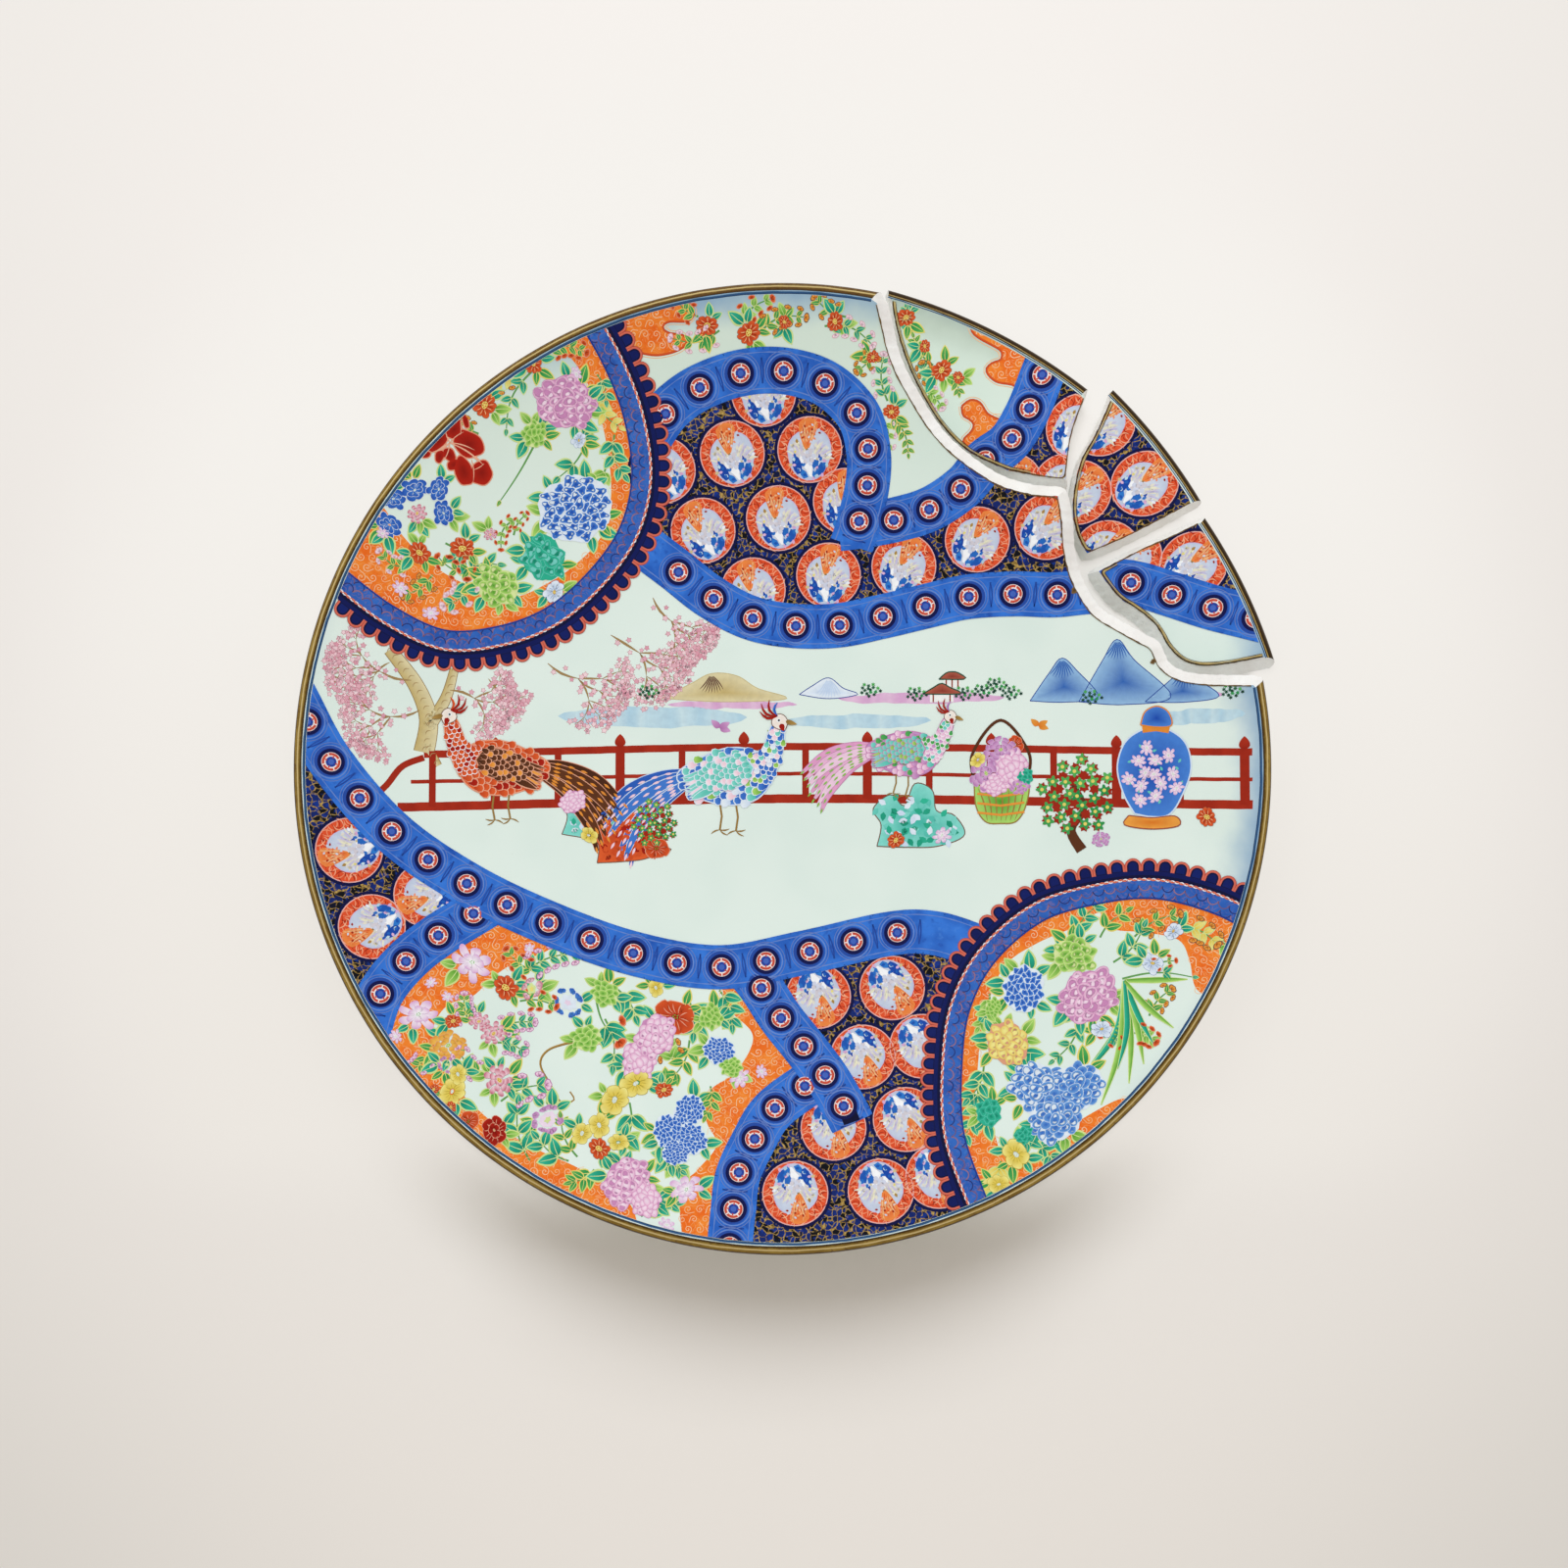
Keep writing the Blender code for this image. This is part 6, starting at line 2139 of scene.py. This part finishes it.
# %% Birds
def draw_bird(coat, wing, tail, spots, edge, marks):
    """A long-tailed bird facing left, about 70 mm from beak to tail, covered with rows of feathers."""
    bird = Layer()
    body = [(-16, 5), (-10, 12), (2, 13), (14, 8), (24, 0), (18, -8), (4, -12), (-9, -10), (-16, -3)]
    neck = [(-17, -2), (-20, 7), (-21.5, 16), (-21, 24), (-17, 25.5), (-14.5, 21), (-12, 13), (-6, 10),
            (-8, 2)]
    shoulder = [(-9, 5), (-3, 10), (8, 7), (15, 1), (12, -5), (2, -5), (-6, -2)]
    for number in range(7):
        lower = 1 - number
        line = smooth([(16, 1 + 0.5 * lower), (30, -3 + 2.2 * lower), (44 + lower, -12 + 3.6 * lower),
                       (54 + 2.5 * lower, -25 + 3.2 * lower)], 2)
        for tone, half, lift in ((edge, 2.5, 4.0), (tail, 2.15, 4.6)):
            feather = ribbon(line, half * swelling(len(line), 0.5, 1.0, 0.35), 3)
            bird.add(feather, tone, lift + 1.5 * (number % 3), 0.25 + 0.25 * (number % 3))
        for index in range(2, len(line), 3):
            mark = petal(3.6, 0.55, 0.8, 4)
            bird.add(moved(mark, line[index], 1.0, angle_of(line[index] - line[index - 1])), spots, 9.4, 0.5)
    for x in (-2, 5):
        bird.add(ribbon([(x, -10), (x - 1.5, -17), (x - 1, -23)], 0.42), "gold", 5.0, 0.3)
        for way in (-2.6, -0.5, -3.3):
            bird.add(stroke((x - 1, -23), ray(way, 4.2, (x - 1, -23)), 0.1, 0.34), "gold", 5.2, 0.3)
    outlined(bird, body, coat, 10.0, edge, 0.3, 5)
    feathered(bird, body, 3.3, marks, -0.25, 11.2, edge)
    outlined(bird, neck, marks[0], 17.0, edge, 0.25, 4)
    feathered(bird, neck, 2.3, marks[::-1], -1.45, 18.2, "white")
    outlined(bird, shoulder, wing, 24.0, edge, 0.3, 4)
    for number in range(8):
        start, way = (-2 + 1.1 * number, 6.4 - 1.5 * number), -0.32 - 0.03 * number
        outer = moved(petal(26 - 1.7 * number, 1.9, 0.8, 6), start, 1.0, way)
        bird.add(outer, edge, 24.6 + 0.5 * number, 0.6)
        inner = moved(petal(24.6 - 1.7 * number, 1.45, 0.8, 6), ray(-0.32, 0.6, start), 1.0, way)
        bird.add(inner, spots if number % 3 == 2 else wing, 24.8 + 0.5 * number)
    feathered(bird, shoulder, 2.5, (wing, spots, wing), -0.35, 29.5, edge)
    cheek = [(-21.6, 22), (-22.6, 26), (-20, 29), (-16.6, 28), (-15.6, 24.5), (-18, 22.5)]
    outlined(bird, cheek, "skin", 26.0, "outline", 0.18, 2)
    bird.add(moved(petal(5.2, 1.1, 0.6), (-21.6, 26), 1.0, math.pi + 0.2), "gold", 27.2)
    bird.add(moved(petal(3.6, 1.2, 0.6), (-19.6, 24.8), 1.0, -2.0), "crimson", 27.2)
    for lean, length in ((1.5, 6), (1.05, 8), (0.6, 9), (0.2, 8)):
        bird.add(stroke((-18, 28), ray(lean, length, (-18, 28)), -0.25, 0.6),
                 "crimson" if length > 7 else coat, 27.4)
    bird.add(moved(polar(0.95, 1, 9), (-18.6, 26.2)), "white", 28.0)
    bird.add(moved(polar(0.5, 1, 8), (-18.7, 26.2)), "ink", 28.6, 0.0)
    return bird


pheasant = draw_bird("red", "brown", "brown", "orange", "crimson_line", ("red", "red", "crimson", "red"))
peacock = draw_bird("blue", "turquoise", "blue", "blush", "blue_pale",
                    ("blue", "turquoise", "blue", "blush", "cobalt", "lime", "blue_pale"))
parrot = draw_bird("purple", "turquoise", "pink", "lime", "pink_line",
                   ("pink", "mauve", "turquoise", "pink", "leaf"))
garden = Layer()
garden.take(pheasant, (-136, 1), 1.05, 0.1, 3.0)
garden.take(flipped(peacock), (-24, -2), 1.1, -0.06, 3.0)
garden.take(flipped(parrot), (60, 9), 0.85, -0.2, 3.0)


# %% A rock, a jar, a basket and bushes
def draw_rock(tone, streaks):
    """A jagged rock, 42 mm wide, covered with strokes."""
    rock = Layer()
    form = [(-20, -9), (-17, 1), (-20, 9), (-11, 15), (-5, 9), (1, 19), (9, 15), (10, 5), (18, 2), (22, -8),
            (9, -12), (-6, -11)]
    outlined(rock, form, tone, 4.0, "outline", 0.25, 6)
    dotted(rock, form, streaks, 60, 2.0, 5.4, "stroke")
    return rock


def draw_jar():
    """A covered jar, 65 mm tall, with blossoms and leaves on a spiral of golden turns."""
    jar = Layer()
    form = [(-9, -24), (-15, -14), (-19, 0), (-16, 13), (-8, 20), (0, 21), (8, 20), (16, 13), (19, 0),
            (15, -14), (9, -24), (0, -25.5)]
    outlined(jar, form, "blue", 4.0, "blue_pale", 0.4, 8)
    for number in range(13):
        place = ray(number * 2.4 + 0.6, 4.4 * math.sqrt(number), (0, -3))
        jar.take(KINDS["blossom"], place, 0.36, number, 5.4)
    for number in range(24):
        place = ray(number * 2.4 + 1.9, 3.35 * math.sqrt(number), (0, -3))
        jar.add(moved(petal(2.6, 0.7, 0.8, 4), place, 1.0, number), "turquoise", 5.4, 0.5)
    jar.add(ribbon([(-7, 21), (0, 22), (7, 21)], 2.2, 3), "orange", 6.0, 0.4)
    lid = [(-8, 23), (-6, 30), (0, 33), (6, 30), (8, 23), (0, 22)]
    foot = [(-12, -25), (-14, -30), (0, -32), (14, -30), (12, -25), (0, -26)]
    outlined(jar, lid, "blue", 7.4, "orange", 0.35, 3)
    outlined(jar, foot, "orange", 7.0, "roof", 0.3, 3)
    return jar


def draw_basket():
    """A wicker basket with a hoop for a handle, full of flowers."""
    basket = Layer()
    form = [(-14, -4), (-13, -16), (-8, -24), (0, -25), (8, -24), (13, -16), (14, -4), (0, -6)]
    outlined(basket, form, "lime", 4.0, "gold", 0.35, 5)
    for number in range(7):
        x = -12 + 4 * number
        basket.add(stroke((x, -6), (x * 0.6, -23.5), 0.05, 0.4, 6), "gold", 5.4, 0.4)
    for y in (-9, -14, -19):
        basket.add(ribbon([(-12.4, y), (0, y - 1.5), (12.4, y)], 0.6), "orange", 6.2, 0.6)
    basket.add(ribbon(smooth([(-13, -5), (-15, 12), (0, 30), (15, 12), (13, -5)], 2), 0.8), "brown", 5.0, 0.6)
    for kind, x, y, size in (
            ("mauve", -8, 2, 0.9), ("peony", 5, 6, 1.0), ("mauve", 0, 14, 0.8), ("teal", 12, 0, 0.5),
            ("peony", -3, -4, 0.7), ("mauve", 9, -4, 0.6), ("yellow", -12, 9, 0.4), ("poppy", 8, 17, 0.45)):
        basket.take(KINDS[kind], (x, y), size, x, 7.0 + (y % 5))
    return basket


def draw_bush():
    """A bent trunk under a round crown of leaves and yellow dots, each on a spiral of golden turns."""
    bush = Layer()
    trunk = smooth([(2, -22), (-3, -12), (3, -2), (-2, 10)], 2)
    bush.add(ribbon(trunk, np.linspace(2.6, 1.2, len(trunk)), 3), "brown", 4.0, 0.7)
    for number in range(34):
        place = ray(number * 2.4, 3.1 * math.sqrt(number), (0, 4))
        leafy = moved(rosette(2.9, 0.2, 7, 1, 21), place, 1.0, number)
        bush.add(leafy, "railing", 5.0 + 0.3 * (number % 3), 0.3)
    for number in range(26):
        place = ray(number * 2.4 + 0.4, 3.6 * math.sqrt(number), (0, 4))
        leafy = moved(rosette(3.1, 0.25, 5, 1, 25), place, 1.0, number)
        bush.add(leafy, "leaf", 7.0 + 0.5 * (number % 4), jump(number))
        bush.add(moved(polar(0.9, 1, 8), place), "yellow", 9.4, 0.4)
    return bush


garden.take(draw_rock("turquoise", ("turquoise", "teal", "blue_pale")), (-88, -22), 0.85, 0.0)
garden.take(draw_rock("red", ("crimson", "red", "red")), (-74, -33), 0.8, 0.2, 4.0)
garden.take(draw_rock("turquoise", ("turquoise", "teal", "blue_pale")), (64, -24), 1.0, 0.1)
garden.take(draw_basket(), (104, -2), 0.9, 0.0, 6.0)
garden.take(draw_jar(), (176, 0), 0.9, -0.05, 6.0)
garden.take(draw_bush(), (140, -16), 1.0, 0.0, 6.0)
garden.take(draw_bush(), (-60, -26), 0.6, 0.4, 6.0)
for kind, x, y, size in (
        ("poppy", -60, -36, 0.55), ("yellow", -92, -30, 0.4), ("peony", -100, -14, 0.6),
        ("orange", 54, -32, 0.4), ("blossom", 76, -30, 0.4), ("orange", 200, -24, 0.45),
        ("mauve", 151, -33, 0.4)):
    garden.take(KINDS[kind], (x, y), size, x, 12.0)
for x, y, tone, size in ((-30, 22, "mauve", 1.0), (-4, 18, "bird_green", 0.8), (122, 22, "orange", 0.9)):
    for lean in (0.5, 2.4, -0.3):
        garden.add(moved(petal(5.5 * size, 1.6 * size, 0.7), (x, y), 1.0, lean), tone, 5.0 + lean)
lay(garden, "garden", ENAMEL, ("dish_body",))

# %% The tree in blossom
tree = Layer()
for points, thick in (([(-170, 8), (-168, 24), (-174, 40), (-186, 56)], 4.6),
                      ([(-168, 20), (-160, 34), (-156, 48)], 3.0), ([(-169, 12), (-163, 2)], 2.0)):
    line = smooth(points, 2)
    tree.add(ribbon(line, np.linspace(thick, thick * 0.6, len(line)) + 0.35, 5), "twig", 2.0, 0.0)
    tree.add(ribbon(line, np.linspace(thick, thick * 0.6, len(line)), 5), "sand", 2.8)
    for place in line[1::2]:
        tree.add(stroke(place - 1.2, place + (1.6, 0.6), 0.3, 0.22), "twig", 4.4, 0.5)
for root, heading, length, depth, seed in (
        ((-176, 42), 2.9, 15, 3, 1), ((-172, 28), 3.4, 14, 3, 4), ((-158, 38), -0.3, 12, 3, 7),
        ((-186, 50), 3.9, 10, 2, 5), ((-112, 52), -0.45, 16, 3, 2), ((-82, 66), -0.55, 16, 3, 6),
        ((-140, 44), -0.9, 10, 2, 3), ((-62, 84), -0.9, 14, 3, 8)):
    blossoming(tree, root, heading, length, depth, seed)
lay(tree, "blossoming_tree", ENAMEL, ("dish_body",))
